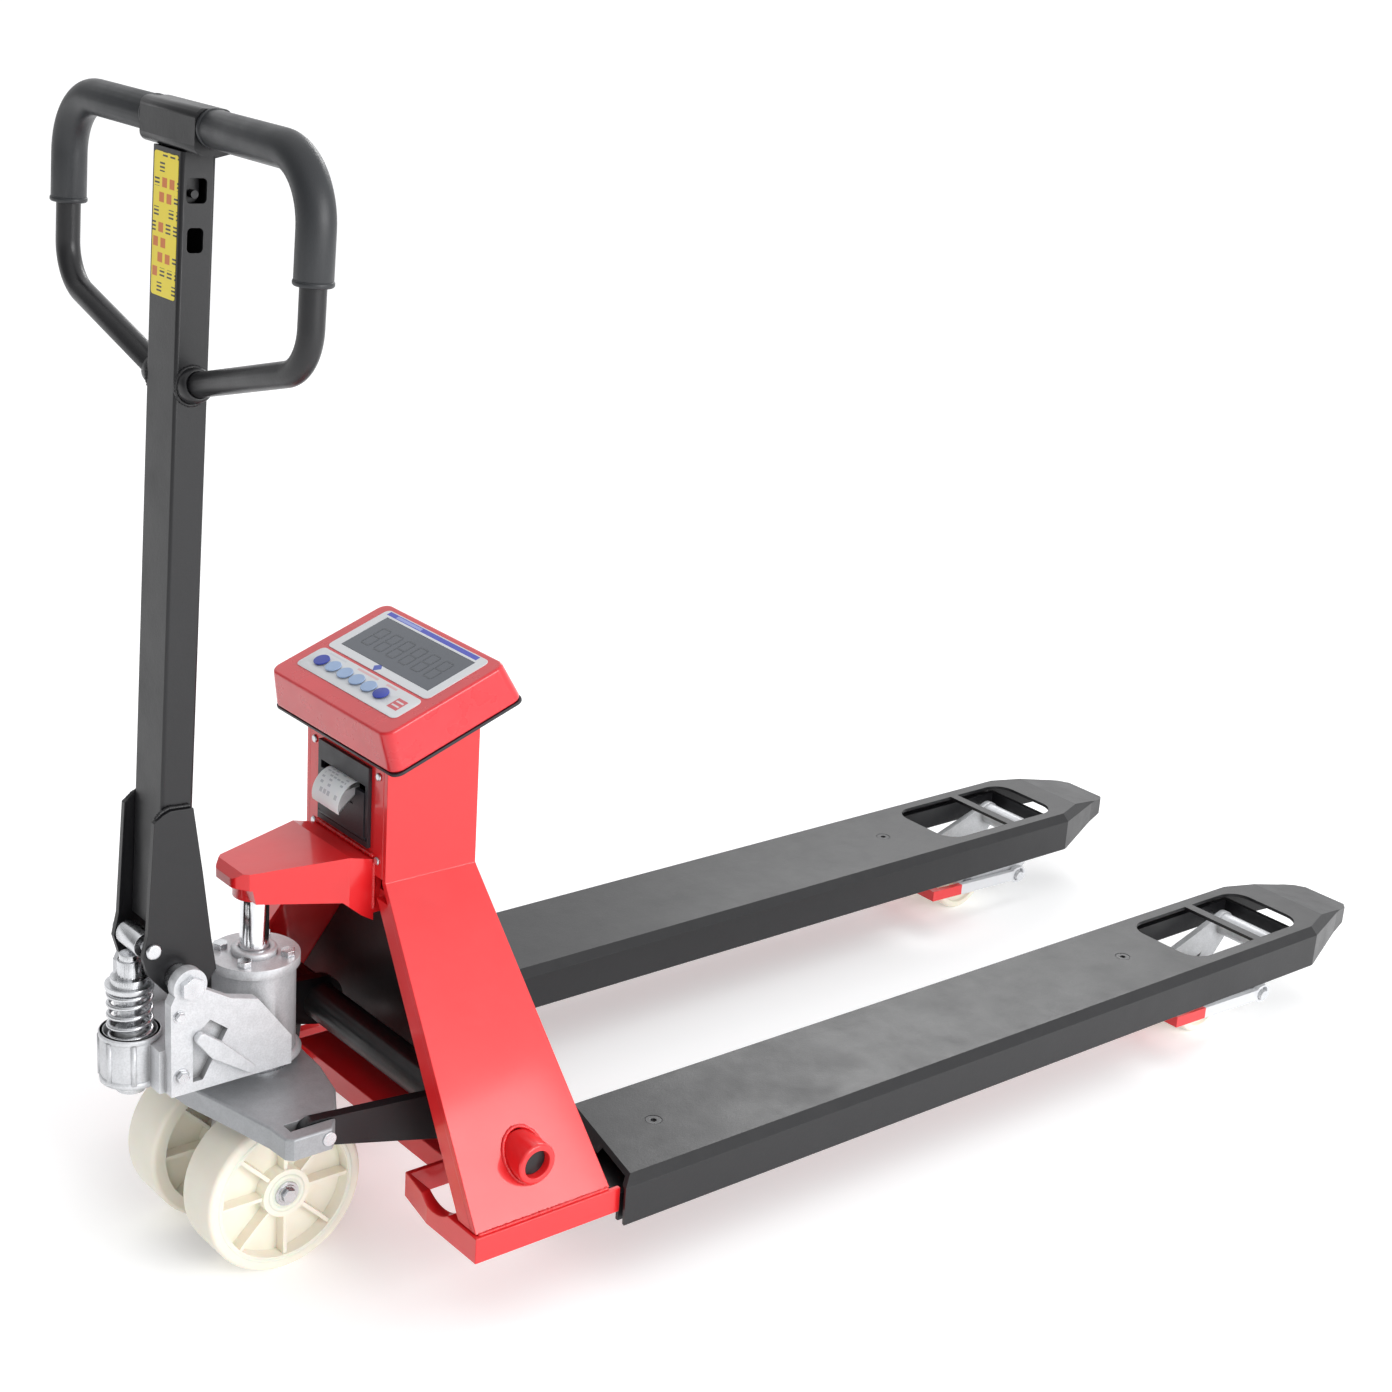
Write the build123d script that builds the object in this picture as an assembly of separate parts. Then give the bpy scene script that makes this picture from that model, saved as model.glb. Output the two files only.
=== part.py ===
from build123d import *
import math
import os

# Hand pallet truck with a built-in scale and receipt printer.
# Millimetres, +X from the handle to the fork tips, +Y to the left, +Z up, floor at z = 0.
# Pieces are drawn with x = 0 at the fork heels and moved together when they are written.

# Driving dimensions
FORK_LENGTH = 1200.0
TRUCK_WIDTH = 570.0
FORK_WIDTH = 155.0
FORK_TOP = 115.0
COVER_DEPTH = 50.0
COVER_BEVEL = 9.0
COVER_WALL = 4.0
WHEEL_RADIUS = 83.0
WHEEL_WIDTH = 54.0
WHEEL_Y = 57.0
AXLE_X = -255.0
ROLLER_RADIUS = 40.0
ROLLER_WIDTH = 76.0
ROLLER_X = 923.0
STEER_X = -244.0
COLUMN_FRONT = -145.0
COLUMN_BACK = -42.0
COLUMN_HALF = 73.0
COLUMN_KINK = 378.0
PLATE = 6.0
TILLER_X = -342.0
TILLER_Z = 315.0
TILLER_LEAN = 2.4
HANDLE_TOP = 1082.0
HANDLE_HALF = 215.0
HANDLE_LOW = 863.0
PLUNGER_X = -374.0
CUP_RADIUS = 28.0

# Derived places
FORK_Y = (TRUCK_WIDTH - FORK_WIDTH) / 2
SKIRT_BOTTOM = FORK_TOP - COVER_DEPTH
FRONT_END = PLUNGER_X - CUP_RADIUS
MIDDLE_X = (FORK_LENGTH + FRONT_END) / 2
PIVOT = (-90.0, 150.0)
LINK = (-255.0, 180.0)
ROD_REAR = (-94.0, 70.0)
YOKE_PIVOT = (1049.0, 82.0)
YOKE_LUG = (1013.0, 34.0)
FIT = 0.05
GAP = 0.5
SIDES = {"right": -1, "left": 1}

# How far the platform rises from the drawn place, and how the linkage turns with it (radians a mm)
LIFTS = (-25.0, -12.0, 0.0, 25.0, 50.0, 75.0)
ROCKER_RATE = 5.95e-3
YOKE_RATE = 9.2e-3
ROD_RATE = -0.24e-3


def block(x0, x1, y0, y1, z0, z1):
    """A box between two corners."""
    size = Box(x1 - x0, y1 - y0, z1 - z0)
    return Pos((x0 + x1) / 2, (y0 + y1) / 2, (z0 + z1) / 2) * size


def rod_x(y, z, radius, x0, x1):
    """A cylinder along X."""
    return Pos((x0 + x1) / 2, y, z) * Rot(0, 90, 0) * Cylinder(radius, x1 - x0)


def rod_y(x, z, radius, y0, y1):
    """A cylinder along Y."""
    return Pos(x, (y0 + y1) / 2, z) * Rot(90, 0, 0) * Cylinder(radius, y1 - y0)


def rod_z(x, y, radius, z0, z1):
    """A cylinder along Z."""
    return Pos(x, y, (z0 + z1) / 2) * Cylinder(radius, z1 - z0)


def prism(points, direction, length):
    """A flat outline in space, pushed along a direction."""
    face = make_face(Polyline(*points, close=True))
    return extrude(face, length, dir=direction)


def prism_x(points, x0, x1):
    """An outline of (y, z) points between two x planes."""
    return prism([(x0, y, z) for y, z in points], (1, 0, 0), x1 - x0)


def prism_y(points, y0, y1):
    """An outline of (x, z) points between two y planes."""
    return prism([(x, y0, z) for x, z in points], (0, 1, 0), y1 - y0)


def prism_z(points, z0, z1):
    """An outline of (x, y) points between two z planes."""
    return prism([(x, y, z0) for x, y in points], (0, 0, 1), z1 - z0)


def link_plate(ends, y0, y1):
    """A flat lever: round bosses of (x, z, radius) joined by their common tangents."""
    plate = None
    for (xa, za, ra), (xb, zb, rb) in zip(ends, ends[1:]):
        reach = math.hypot(xb - xa, zb - za)
        heading = math.atan2(zb - za, xb - xa)
        spread = math.acos((ra - rb) / reach)
        outline = []
        for x, z, r, turn in ((xa, za, ra, 1), (xb, zb, rb, 1), (xb, zb, rb, -1), (xa, za, ra, -1)):
            angle = heading + turn * spread
            outline.append((x + r * math.cos(angle), z + r * math.sin(angle)))
        web = prism_y(outline, y0, y1) + rod_y(xa, za, ra, y0, y1) + rod_y(xb, zb, rb, y0, y1)
        plate = web if plate is None else plate + web
    return plate


def turned(point, about, angle):
    """An (x, z) point turned about another one, from +X towards +Z."""
    dx, dz = point[0] - about[0], point[1] - about[1]
    cos, sin = math.cos(angle), math.sin(angle)
    return about[0] + cos * dx - sin * dz, about[1] + sin * dx + cos * dz


def slot_along(path, radius, y0, y1):
    """Room for a pin of the given radius that runs along a path of (x, z) points."""
    slot = None
    for index, (a, b) in enumerate(zip(path, path[1:])):
        shrink = 0.004 * (index + 1)
        piece = link_plate([(*a, radius), (*b, radius - shrink)], y0, y1)
        slot = piece if slot is None else slot + piece
    return slot


def flipped(shape):
    """The same piece on the left side."""
    return mirror(shape, about=Plane.XZ)


def on_side(shape, side):
    return shape if side < 0 else flipped(shape)


def write(name, *pieces):
    """Save one piece, or a group of like pieces, in the truck's own frame."""
    solids = []
    for piece in pieces:
        solids.extend(piece.solids())
    moved = [Pos(-MIDDLE_X, 0, 0) * solid for solid in solids]
    shape = moved[0] if len(moved) == 1 else Compound(children=moved)
    export_step(shape, f"parts/{name}.step")
    print(name, len(solids), round(sum(solid.volume for solid in solids)))


# ---------------------------------------------------------------- forks and platform

NOSE_START = 1080.0
NOSE_SHOULDER = 1160.0
NOSE_SLOPE_START = 1120.0
NOSE_TOP = 101.0
NOSE_BOTTOM = 84.0
HOLES = ((876.0, 984.0), (997.0, 1080.0))
HOLE_HALF = 54.0
HEEL_OUTER = 0.0
HEEL_INNER = 38.0


def cover_body(inset):
    """The outside of a fork cover, or with an inset the space under it."""
    half = FORK_WIDTH / 2 - inset
    tip = FORK_LENGTH - inset
    top = FORK_TOP - inset
    outline = [
        (HEEL_OUTER - inset, -half),
        (NOSE_START, -half),
        (NOSE_SHOULDER, -48 + inset),
        (tip - 12, -40 + inset),
        (tip, -30 + inset),
        (tip, 30 - inset),
        (tip - 12, 40 - inset),
        (NOSE_SHOULDER, 48 - inset),
        (NOSE_START, half),
        (HEEL_INNER - inset, half),
    ]
    floor = SKIRT_BOTTOM - inset
    body = prism_z(outline, floor, top)
    upper = body.edges().group_by(Axis.Z)[-1]
    body = chamfer(upper, COVER_BEVEL)
    side = [
        (HEEL_OUTER - 10, floor),
        (NOSE_START + 5, floor),
        (tip, NOSE_BOTTOM),
        (tip, NOSE_TOP - inset),
        (NOSE_SLOPE_START, top),
        (HEEL_OUTER - 10, top),
    ]
    return body & prism_y(side, -FORK_WIDTH, FORK_WIDTH)


def fork_cover():
    """A folded steel cover with two windows and countersunk screw holes."""
    cover = cover_body(0) - cover_body(COVER_WALL)
    x0, x1 = HOLES[0][0], HOLES[1][1]
    window = block(x0, x1, -HOLE_HALF, HOLE_HALF, FORK_TOP - 12, FORK_TOP + 5)
    window = fillet(window.edges().filter_by(Axis.Z), 26)
    bridge = block(HOLES[0][1], HOLES[1][0], -HOLE_HALF - 5, HOLE_HALF + 5, FORK_TOP - 20, FORK_TOP + 10)
    cover = cover - (window - bridge)
    for x in CELL_X:
        cone = Pos(x, 0, FORK_TOP - SCREW_HEAD / 2) * Cone(SCREW_R + GAP, SCREW_R + SCREW_HEAD + GAP, SCREW_HEAD)
        cover = cover - cone - rod_z(x, 0, SCREW_R + GAP, FORK_TOP - 8, FORK_TOP)
    return Pos(0, -FORK_Y, 0) * cover


CELL_X = (94.0, 805.0)
SCREW_R = 5.0
SCREW_HEAD = 3.6
CHANNEL_TOP = 96.0
CHANNEL_HALF = 68.0
CHANNEL_WALL = 4.0
CHANNEL_END = 862.0
RAIL = (75.0, 100.0)


def inner_fork():
    """The load-bearing channel under a cover, with two rails that carry the roller yoke."""
    half = CHANNEL_HALF
    inside = half - CHANNEL_WALL
    channel = block(0, CHANNEL_END, -half, half, SKIRT_BOTTOM + 1, CHANNEL_TOP)
    channel -= block(-1, CHANNEL_END + 1, -inside, inside, SKIRT_BOTTOM, CHANNEL_TOP - CHANNEL_WALL)
    low, high = RAIL
    fork = channel
    for turn in (-1, 1):
        a, b = sorted((turn * half, turn * (half - 7)))
        fork += block(CHANNEL_END - 60, YOKE_PIVOT[0] + 34, a, b, low, high)
        fork += link_plate([(YOKE_PIVOT[0], YOKE_PIVOT[1], 18), (YOKE_PIVOT[0], YOKE_PIVOT[1] + 1, 18)], a, b)
    fork += block(YOKE_PIVOT[0] + 27, YOKE_PIVOT[0] + 34, -half, half, low, high)
    fork -= rod_y(YOKE_PIVOT[0], YOKE_PIVOT[1], YOKE_PIN_R, -half - 1, half + 1)
    for x in CELL_X:
        fork -= rod_z(x - 30, 0, 4.0, CHANNEL_TOP - 10, CHANNEL_TOP + 1)
    return Pos(0, -FORK_Y, 0) * fork


def load_cell(x):
    """A bending-beam load cell between the channel and the cover."""
    top = FORK_TOP - COVER_WALL
    beam = block(x - 50, x + 50, -16, 16, CHANNEL_TOP, top)
    beam -= rod_y(x - 9, (CHANNEL_TOP + top) / 2, 4.5, -17, 17)
    beam -= rod_y(x + 9, (CHANNEL_TOP + top) / 2, 4.5, -17, 17)
    beam -= block(x - 9, x + 9, -17, 17, CHANNEL_TOP + 5.5, CHANNEL_TOP + 9.5)
    beam -= block(x - 60, x - 12, -20, 20, top - 2, top + 1)
    beam -= block(x + 20, x + 60, -20, 20, CHANNEL_TOP - 1, CHANNEL_TOP + 2)
    beam -= rod_z(x, 0, SCREW_R + GAP, top - 4, top + 1)
    return Pos(0, -FORK_Y, 0) * beam


def cover_screw(x):
    """A countersunk screw that holds the cover down on a load cell."""
    head = Pos(x, 0, FORK_TOP - 0.3 - SCREW_HEAD / 2) * Cone(SCREW_R, SCREW_R + SCREW_HEAD, SCREW_HEAD)
    screw = head + rod_z(x, 0, SCREW_R, FORK_TOP - COVER_WALL - 3.5, FORK_TOP - SCREW_HEAD)
    screw -= extrude(Pos(x, 0, FORK_TOP - 2.6) * RegularPolygon(3.4, 6), 4)
    return Pos(0, -FORK_Y, 0) * screw


YOKE_PIN_R = 8.0
ROLLER_AXLE_R = 10.0
YOKE_HALF = 39.0
YOKE_PLATE = 8.0
PRONG = (50.0, 57.0)
PRONG_TALL = 7.0
ROD_PIN_R = 6.0
ROD_HALF = 6.0
ROD_TALL = 8.0
ROD_EYE_R = 13.0
CLEVIS_X = 866.0
CLEVIS_WIDE = 14.0


def yoke():
    """Roller carrier: two shaped side plates, a pivot tube and the push-rod pin."""
    roller_c = (ROLLER_X, ROLLER_RADIUS, 17)
    pivot = (YOKE_PIVOT[0], YOKE_PIVOT[1], 16)
    lug = (YOKE_LUG[0], YOKE_LUG[1], 11.5)
    part = None
    for turn in (-1, 1):
        a, b = sorted((turn * YOKE_HALF, turn * (YOKE_HALF + YOKE_PLATE)))
        plate = link_plate([roller_c, lug, pivot], a, b)
        plate += link_plate([roller_c, pivot], a, b)
        c, d = sorted((turn * YOKE_HALF, turn * (PRONG[1] + 5)))
        plate += rod_y(YOKE_LUG[0], YOKE_LUG[1], ROD_PIN_R, c, d)
        part = plate if part is None else part + plate
    part += rod_y(YOKE_PIVOT[0], YOKE_PIVOT[1], 14, -YOKE_HALF, YOKE_HALF)
    part += rod_y(YOKE_LUG[0], YOKE_LUG[1], 9, -YOKE_HALF, YOKE_HALF)
    part -= rod_y(YOKE_PIVOT[0], YOKE_PIVOT[1], YOKE_PIN_R + FIT, -60, 60)
    part -= rod_y(ROLLER_X, ROLLER_RADIUS, ROLLER_AXLE_R, -60, 60)
    return Pos(0, -FORK_Y, 0) * part


def yoke_pin():
    return Pos(0, -FORK_Y, 0) * rod_y(YOKE_PIVOT[0], YOKE_PIVOT[1], YOKE_PIN_R, -CHANNEL_HALF, CHANNEL_HALF)


def roller_axle():
    reach = YOKE_HALF + YOKE_PLATE + 1
    axle = rod_y(ROLLER_X, ROLLER_RADIUS, ROLLER_AXLE_R, -reach, reach)
    return Pos(0, -FORK_Y, 0) * axle


def load_roller():
    """Nylon roller with a dished end and a running bore."""
    half = ROLLER_WIDTH / 2
    roller = rod_y(ROLLER_X, ROLLER_RADIUS, ROLLER_RADIUS, -half, half)
    roller = chamfer(roller.edges().filter_by(GeomType.CIRCLE), 2.5)
    for turn in (-1, 1):
        a, b = sorted((turn * half, turn * (half - 5)))
        dish = rod_y(ROLLER_X, ROLLER_RADIUS, 31, a, b) - rod_y(ROLLER_X, ROLLER_RADIUS, 18, a, b)
        roller -= dish
    roller -= rod_y(ROLLER_X, ROLLER_RADIUS, ROLLER_AXLE_R + FIT, -half - 1, half + 1)
    return Pos(0, -FORK_Y, 0) * roller


def rod_pin_path():
    """Where the yoke's pin goes in the push rod's own frame as the platform rises."""
    path = []
    for lift in LIFTS:
        eye = turned(ROD_REAR, PIVOT, ROCKER_RATE * lift)
        lug = turned(YOKE_LUG, YOKE_PIVOT, YOKE_RATE * lift)
        offset = (ROD_REAR[0] + lug[0] - eye[0], ROD_REAR[1] + lug[1] - eye[1])
        path.append(turned(offset, ROD_REAR, -ROD_RATE * lift))
    return path


def push_rod():
    """Rod from the rocker lever to the yoke: an eye, a bar and a clevis round the roller."""
    span = YOKE_LUG[0] - ROD_REAR[0]
    slope = (YOKE_LUG[1] - ROD_REAR[1]) / span

    def line(x):
        return ROD_REAR[1] + slope * (x - ROD_REAR[0])

    def strip(x0, x1, y0, y1, tall):
        points = [(x0, line(x0) - tall), (x1, line(x1) - tall), (x1, line(x1) + tall), (x0, line(x0) + tall)]
        return prism_y(points, y0, y1)

    bar = strip(ROD_REAR[0], CLEVIS_X, -ROD_HALF, ROD_HALF, ROD_TALL)
    bar += rod_y(*ROD_REAR, ROD_EYE_R, -ROD_HALF, ROD_HALF)
    bar += strip(CLEVIS_X - CLEVIS_WIDE, CLEVIS_X, -PRONG[1], PRONG[1], PRONG_TALL)
    for turn in (-1, 1):
        a, b = sorted((turn * PRONG[0], turn * PRONG[1]))
        prong = strip(CLEVIS_X - CLEVIS_WIDE, YOKE_LUG[0], a, b, PRONG_TALL)
        prong += link_plate([(*YOKE_LUG, 11), (YOKE_LUG[0] + 5, YOKE_LUG[1], 10.9)], a, b)
        prong -= slot_along(rod_pin_path(), ROD_PIN_R + 0.8, a - 1, b + 1)
        bar += prong
    bar -= rod_y(*ROD_REAR, ROD_PIN_R + FIT, -ROD_HALF - 1, ROD_HALF + 1)
    return Pos(0, -FORK_Y, 0) * bar


# ---------------------------------------------------------------- column and feet

FOOT_OUT = 277.0
FOOT_IN = 141.0
FOOT_FRONT = -168.0
FOOT_BOTTOM = 77.0
FOOT_TOP = 104.0
LEG_BOTTOM_Y = 272.0
LEG_BOTTOM_Z = 105.0
LEG_FRONT = (COLUMN_FRONT, -165.0)
LEG_BACK = (COLUMN_BACK, -10.0)
CONSOLE_TILT = 20.0
CONSOLE_X = (-161.0, -17.5)
CONSOLE_FRONT_Z = 501.0
CONSOLE_HEIGHT = 43.0
CONSOLE_HALF = 111.0


def leg_profile(thickness):
    """Section of a bent side plate: upright above the bend and splayed below it."""
    drop = COLUMN_KINK - LEG_BOTTOM_Z
    splay = LEG_BOTTOM_Y - COLUMN_HALF
    length = math.hypot(drop, splay)
    tangent = math.tan(math.atan2(splay, drop) / 2)
    inner_bottom = -LEG_BOTTOM_Y + thickness * length / drop
    top = 700.0
    return [
        (-COLUMN_HALF, top),
        (-COLUMN_HALF, COLUMN_KINK),
        (-LEG_BOTTOM_Y, LEG_BOTTOM_Z),
        (inner_bottom, LEG_BOTTOM_Z),
        (-COLUMN_HALF + thickness, COLUMN_KINK - thickness * tangent),
        (-COLUMN_HALF + thickness, top),
    ]


def console_line(x, offset=0.0):
    """Height of the sloping underside of the console, plus an offset square to it."""
    slope = math.tan(math.radians(CONSOLE_TILT))
    lift = offset / math.cos(math.radians(CONSOLE_TILT))
    return CONSOLE_FRONT_Z + slope * (x - CONSOLE_X[0]) + lift


def side_plate():
    """Right side of the column: one plate bent outwards to the foot, with a front flange."""
    front, back = LEG_FRONT, LEG_BACK
    outline = [
        (front[0], console_line(front[0])),
        (front[0], COLUMN_KINK),
        (front[1], LEG_BOTTOM_Z),
        (back[1], LEG_BOTTOM_Z),
        (back[0], COLUMN_KINK),
        (back[0], console_line(back[0])),
    ]
    plate = prism_x(leg_profile(PLATE), front[1] - 5, 0) & prism_y(outline, -300, 0)
    strip = [
        (front[0], COLUMN_KINK - 20),
        (front[1], LEG_BOTTOM_Z),
        (front[1] + PLATE, LEG_BOTTOM_Z),
        (front[0] + PLATE, COLUMN_KINK - 20),
    ]
    flange = prism_x(leg_profile(24.0), front[1] - 5, 0) & prism_y(strip, -300, -20)
    plate = plate + flange
    reach = BOSS_OUT + 2
    plate -= rod_y(*PIVOT, BOSS_R, -reach, -FOOT_IN)
    return plate


BOSS_R = 21.0
BOSS_OUT = 262.0
BOSS_IN = 226.0
SHAFT_R = 14.0


def pivot_boss():
    """Short tube through the side plate that holds the end of the rocker shaft."""
    boss = rod_y(*PIVOT, BOSS_R, -BOSS_OUT, -BOSS_IN)
    boss = fillet(boss.edges().sort_by(Axis.Y)[0], 3)
    return boss - rod_y(*PIVOT, SHAFT_R, -BOSS_OUT - 1, -BOSS_IN + 1)


def foot():
    """Heel box under a side plate: walls round an open pocket, with a dipped front wall."""
    outer = block(FOOT_FRONT, 0, -FOOT_OUT, -FOOT_IN, FOOT_BOTTOM, FOOT_TOP)
    skew = prism_z([(FOOT_FRONT - 1, -FOOT_IN + 1), (FOOT_FRONT - 1, -200), (FOOT_FRONT + 10, -FOOT_IN + 1)],
                   FOOT_BOTTOM - 1, FOOT_TOP + 1)
    box = outer - skew
    wall = 5.0
    pocket = block(FOOT_FRONT + wall + 8, 1, -FOOT_OUT + wall, -FOOT_IN - wall, FOOT_BOTTOM - 1, FOOT_TOP + 1)
    box -= pocket
    dip = rod_x(-205, FOOT_TOP + 32, 40, FOOT_FRONT - 5, FOOT_FRONT + 30)
    box -= dip
    plate_shadow = prism_x(leg_profile(24.0), FOOT_FRONT - 5, 5) & block(FOOT_FRONT - 5, 5, -300, 0, 0, 400)
    return box - plate_shadow


def foot_crossmember():
    """Red tie plate between the two feet."""
    low, high = FOOT_BOTTOM + 3, FOOT_TOP
    tie = block(-112, -56, -FOOT_IN, FOOT_IN, low, high)
    tie -= block(-107, -61, -FOOT_IN - 1, FOOT_IN + 1, low - 1, high - 5)
    return tie


PRINTER_HALF = 43.0
PRINTER_Z = (408.0, 484.0)
PRINTER_DEPTH = 62.0
PANEL = 3.0


def column_front():
    """Front plate of the column, with the printer cut-out."""
    inner = COLUMN_HALF - PLATE
    x0, x1 = COLUMN_FRONT, COLUMN_FRONT + PANEL
    top = console_line(x0) - 0.5
    plate = block(x0, x1, -inner, inner, BRACKET_FLANGE[1] + 1, top)
    window = block(x0 - 1, x1 + 1, -PRINTER_HALF, PRINTER_HALF, *PRINTER_Z)
    return plate - window


def rear_panel():
    """Black sheet across the back of the column, from the feet to the console."""
    x0, x1 = COLUMN_BACK - 4, COLUMN_BACK - 1
    profile = leg_profile(PLATE + 0.2)
    inner = profile[3:]
    low_y = inner[0][0] + (FOOT_TOP + 8 - LEG_BOTTOM_Z) * 0.73
    bend_y, bend_z = inner[1]
    top = console_line(x0) - 2
    outline = [(low_y, FOOT_TOP + 8), (bend_y, bend_z), (bend_y, top), (-bend_y, top), (-bend_y, bend_z),
               (-low_y, FOOT_TOP + 8)]
    return prism_x(outline, x0, x1)


BRACKET_TIP = -277.0
BRACKET_PLAN = 28.0
BRACKET_WIDE = 53.0
BRACKET_FLANGE = (340.0, 378.0)
BRACKET_LOW = 363.0
ROD_TOP = 385.0
ROD_R = 14.0


def head_bracket():
    """Red cast arm that carries the column on the piston rod."""
    tip, front = BRACKET_TIP, COLUMN_FRONT
    narrow, wide = BRACKET_PLAN, BRACKET_WIDE
    plan = [(tip, -16), (tip + 12, -narrow), (-172, -wide), (front, -wide)]
    plan += [(x, -y) for x, y in reversed(plan)]
    side = [
        (tip, 382), (tip, 391), (tip + 8, 397), (-172, 403), (front, 396), (front, 332),
        (-158, 340), (-178, 357), (tip + 18, 366), (tip + 15, 380),
    ]
    arm = prism_z(plan, 300, 430)
    arm = fillet(arm.edges().filter_by(Axis.Z).group_by(Axis.X)[0], 9) & prism_y(side, -80, 80)
    hollow_top = ROD_TOP - 3
    hollow = prism_z([(-222, -24), (-176, -44), (-150, -44), (-150, 44), (-176, 44), (-222, 24)], 300, hollow_top)
    arm -= hollow
    arm += rod_z(STEER_X, 0, 21, BRACKET_LOW, hollow_top)
    arm -= rod_z(STEER_X, 0, ROD_R, BRACKET_LOW - 20, ROD_TOP)
    inner = COLUMN_HALF - PLATE
    tongue = block(front + PLATE + 1, COLUMN_BACK - 6, -inner, inner, 352, 364)
    return arm + tongue + block(front, front + 8, -wide, wide, *BRACKET_FLANGE)


def piston_rod():
    rod = rod_z(STEER_X, 0, ROD_R, 190, ROD_TOP)
    return chamfer(rod.edges().sort_by(Axis.Z)[0], 1.5)


# ---------------------------------------------------------------- console

OVERLAY = 0.8
KEY_COUNT = 6
KEY_TRAVEL = 0.8


def console_frame(x_along, y, lift):
    """A place on the console's sloping top: distance back from its front edge, and height."""
    base = Plane(
        origin=(CONSOLE_X[0], 0, CONSOLE_FRONT_Z),
        x_dir=(math.cos(math.radians(CONSOLE_TILT)), 0, math.sin(math.radians(CONSOLE_TILT))),
        z_dir=(-math.sin(math.radians(CONSOLE_TILT)), 0, math.cos(math.radians(CONSOLE_TILT))),
    )
    return base * Pos(x_along, y, lift)


CONSOLE_DEPTH = (CONSOLE_X[1] - CONSOLE_X[0]) / math.cos(math.radians(CONSOLE_TILT))
CONSOLE_WALL = 3.0


def console_shell(inset, low, high):
    """A block with four leaning sides and round corners, in the console's own slope."""
    draft = 6.0
    faces = []
    for level, extra in ((low, 0.0), (high, draft)):
        wide = 2 * (CONSOLE_HALF - inset - extra)
        deep = CONSOLE_DEPTH - 2 * (inset + extra)
        faces.append(Pos(0, 0, level) * RectangleRounded(deep, wide, 12 - inset))
    return console_frame(CONSOLE_DEPTH / 2, 0, 0) * loft(faces)


def console_housing():
    """Upper shell of the indicator."""
    shell = console_shell(0, 3, CONSOLE_HEIGHT)
    shell = fillet(shell.faces().sort_by(Axis.Z)[-1].edges(), 3)
    shell -= console_shell(CONSOLE_WALL, 2, CONSOLE_HEIGHT - CONSOLE_WALL)
    shell -= console_frame(DISPLAY_X, 0, CONSOLE_HEIGHT) * Box(LCD_SIZE[0], LCD_SIZE[1], 20)
    for y in KEY_Y:
        shell -= console_frame(KEY_X, y, CONSOLE_HEIGHT) * Cylinder(KEY_STEM + 0.4, 20)
    return shell


def console_tray():
    """Floor of the indicator, on top of the column."""
    tray = console_frame(CONSOLE_DEPTH / 2, 0, 1.5) * Box(CONSOLE_DEPTH, 2 * CONSOLE_HALF, 3)
    return fillet(tray.edges().sort_by(lambda e: e.length)[:4], 10)


DISPLAY_X = 102.0
DISPLAY_SIZE = (75.0, 177.0)
LCD_SIZE = (56.0, 154.0)
KEYPAD_X = 44.0
KEYPAD_SIZE = (34.0, 177.0)
KEY_X = 44.5
KEY_FIRST = 65.5
KEY_PITCH = 21.34
KEY_Y = [KEY_FIRST - KEY_PITCH * index for index in range(KEY_COUNT)]
KEY_STEM = 4.0
KEY_HALF = (8.0, 9.0)


def overlay_sheet(centre, size, cut=None):
    """A printed plastic sheet laid on the console."""
    plate = RectangleRounded(size[0], size[1], 6)
    sheet = console_frame(centre, 0, CONSOLE_HEIGHT) * extrude(plate, OVERLAY)
    if cut:
        sheet -= console_frame(centre, 0, CONSOLE_HEIGHT) * Box(cut[0], cut[1], 8)
    return sheet


def keypad_sheet():
    sheet = overlay_sheet(KEYPAD_X, KEYPAD_SIZE)
    for y in KEY_Y:
        sheet -= console_frame(KEY_X, y, CONSOLE_HEIGHT) * Cylinder(KEY_STEM + 0.4, 8)
    return sheet


def lcd_window():
    glass = Box(LCD_SIZE[0] - 0.4, LCD_SIZE[1] - 0.4, CONSOLE_WALL + OVERLAY)
    return console_frame(DISPLAY_X, 0, CONSOLE_HEIGHT - CONSOLE_WALL / 2 + OVERLAY / 2) * glass


def key(y):
    """A push key: an oval cap on a round stem."""
    cap = console_frame(KEY_X, y, CONSOLE_HEIGHT + OVERLAY + KEY_TRAVEL + 0.2)
    oval = cap * extrude(Ellipse(KEY_HALF[0], KEY_HALF[1]), 1.4)
    stem_long = 7.0
    stem = console_frame(KEY_X, y, CONSOLE_HEIGHT + OVERLAY + KEY_TRAVEL + 0.2 - stem_long / 2)
    return oval + stem * Cylinder(KEY_STEM, stem_long)


def circuit_board():
    board = console_frame(CONSOLE_DEPTH / 2, 0, 28) * Box(CONSOLE_DEPTH - 34, 170, 1.6)
    chips = [(-20, -40), (10, 0), (-10, 45)]
    for x, y in chips:
        board += console_frame(CONSOLE_DEPTH / 2 + x, y, 26.2) * Box(18, 22, 3)
    for x in (-48, 48):
        for y in (-75, 75):
            board += console_frame(CONSOLE_DEPTH / 2 + x, y, 15.1) * Cylinder(3.5, 24.2)
    return board


def battery():
    pack = console_frame(CONSOLE_DEPTH / 2, 0, 12.5) * Box(60, 100, 19)
    return fillet(pack.edges().filter_by(Axis.Y), 3)


# ---------------------------------------------------------------- printer

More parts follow.
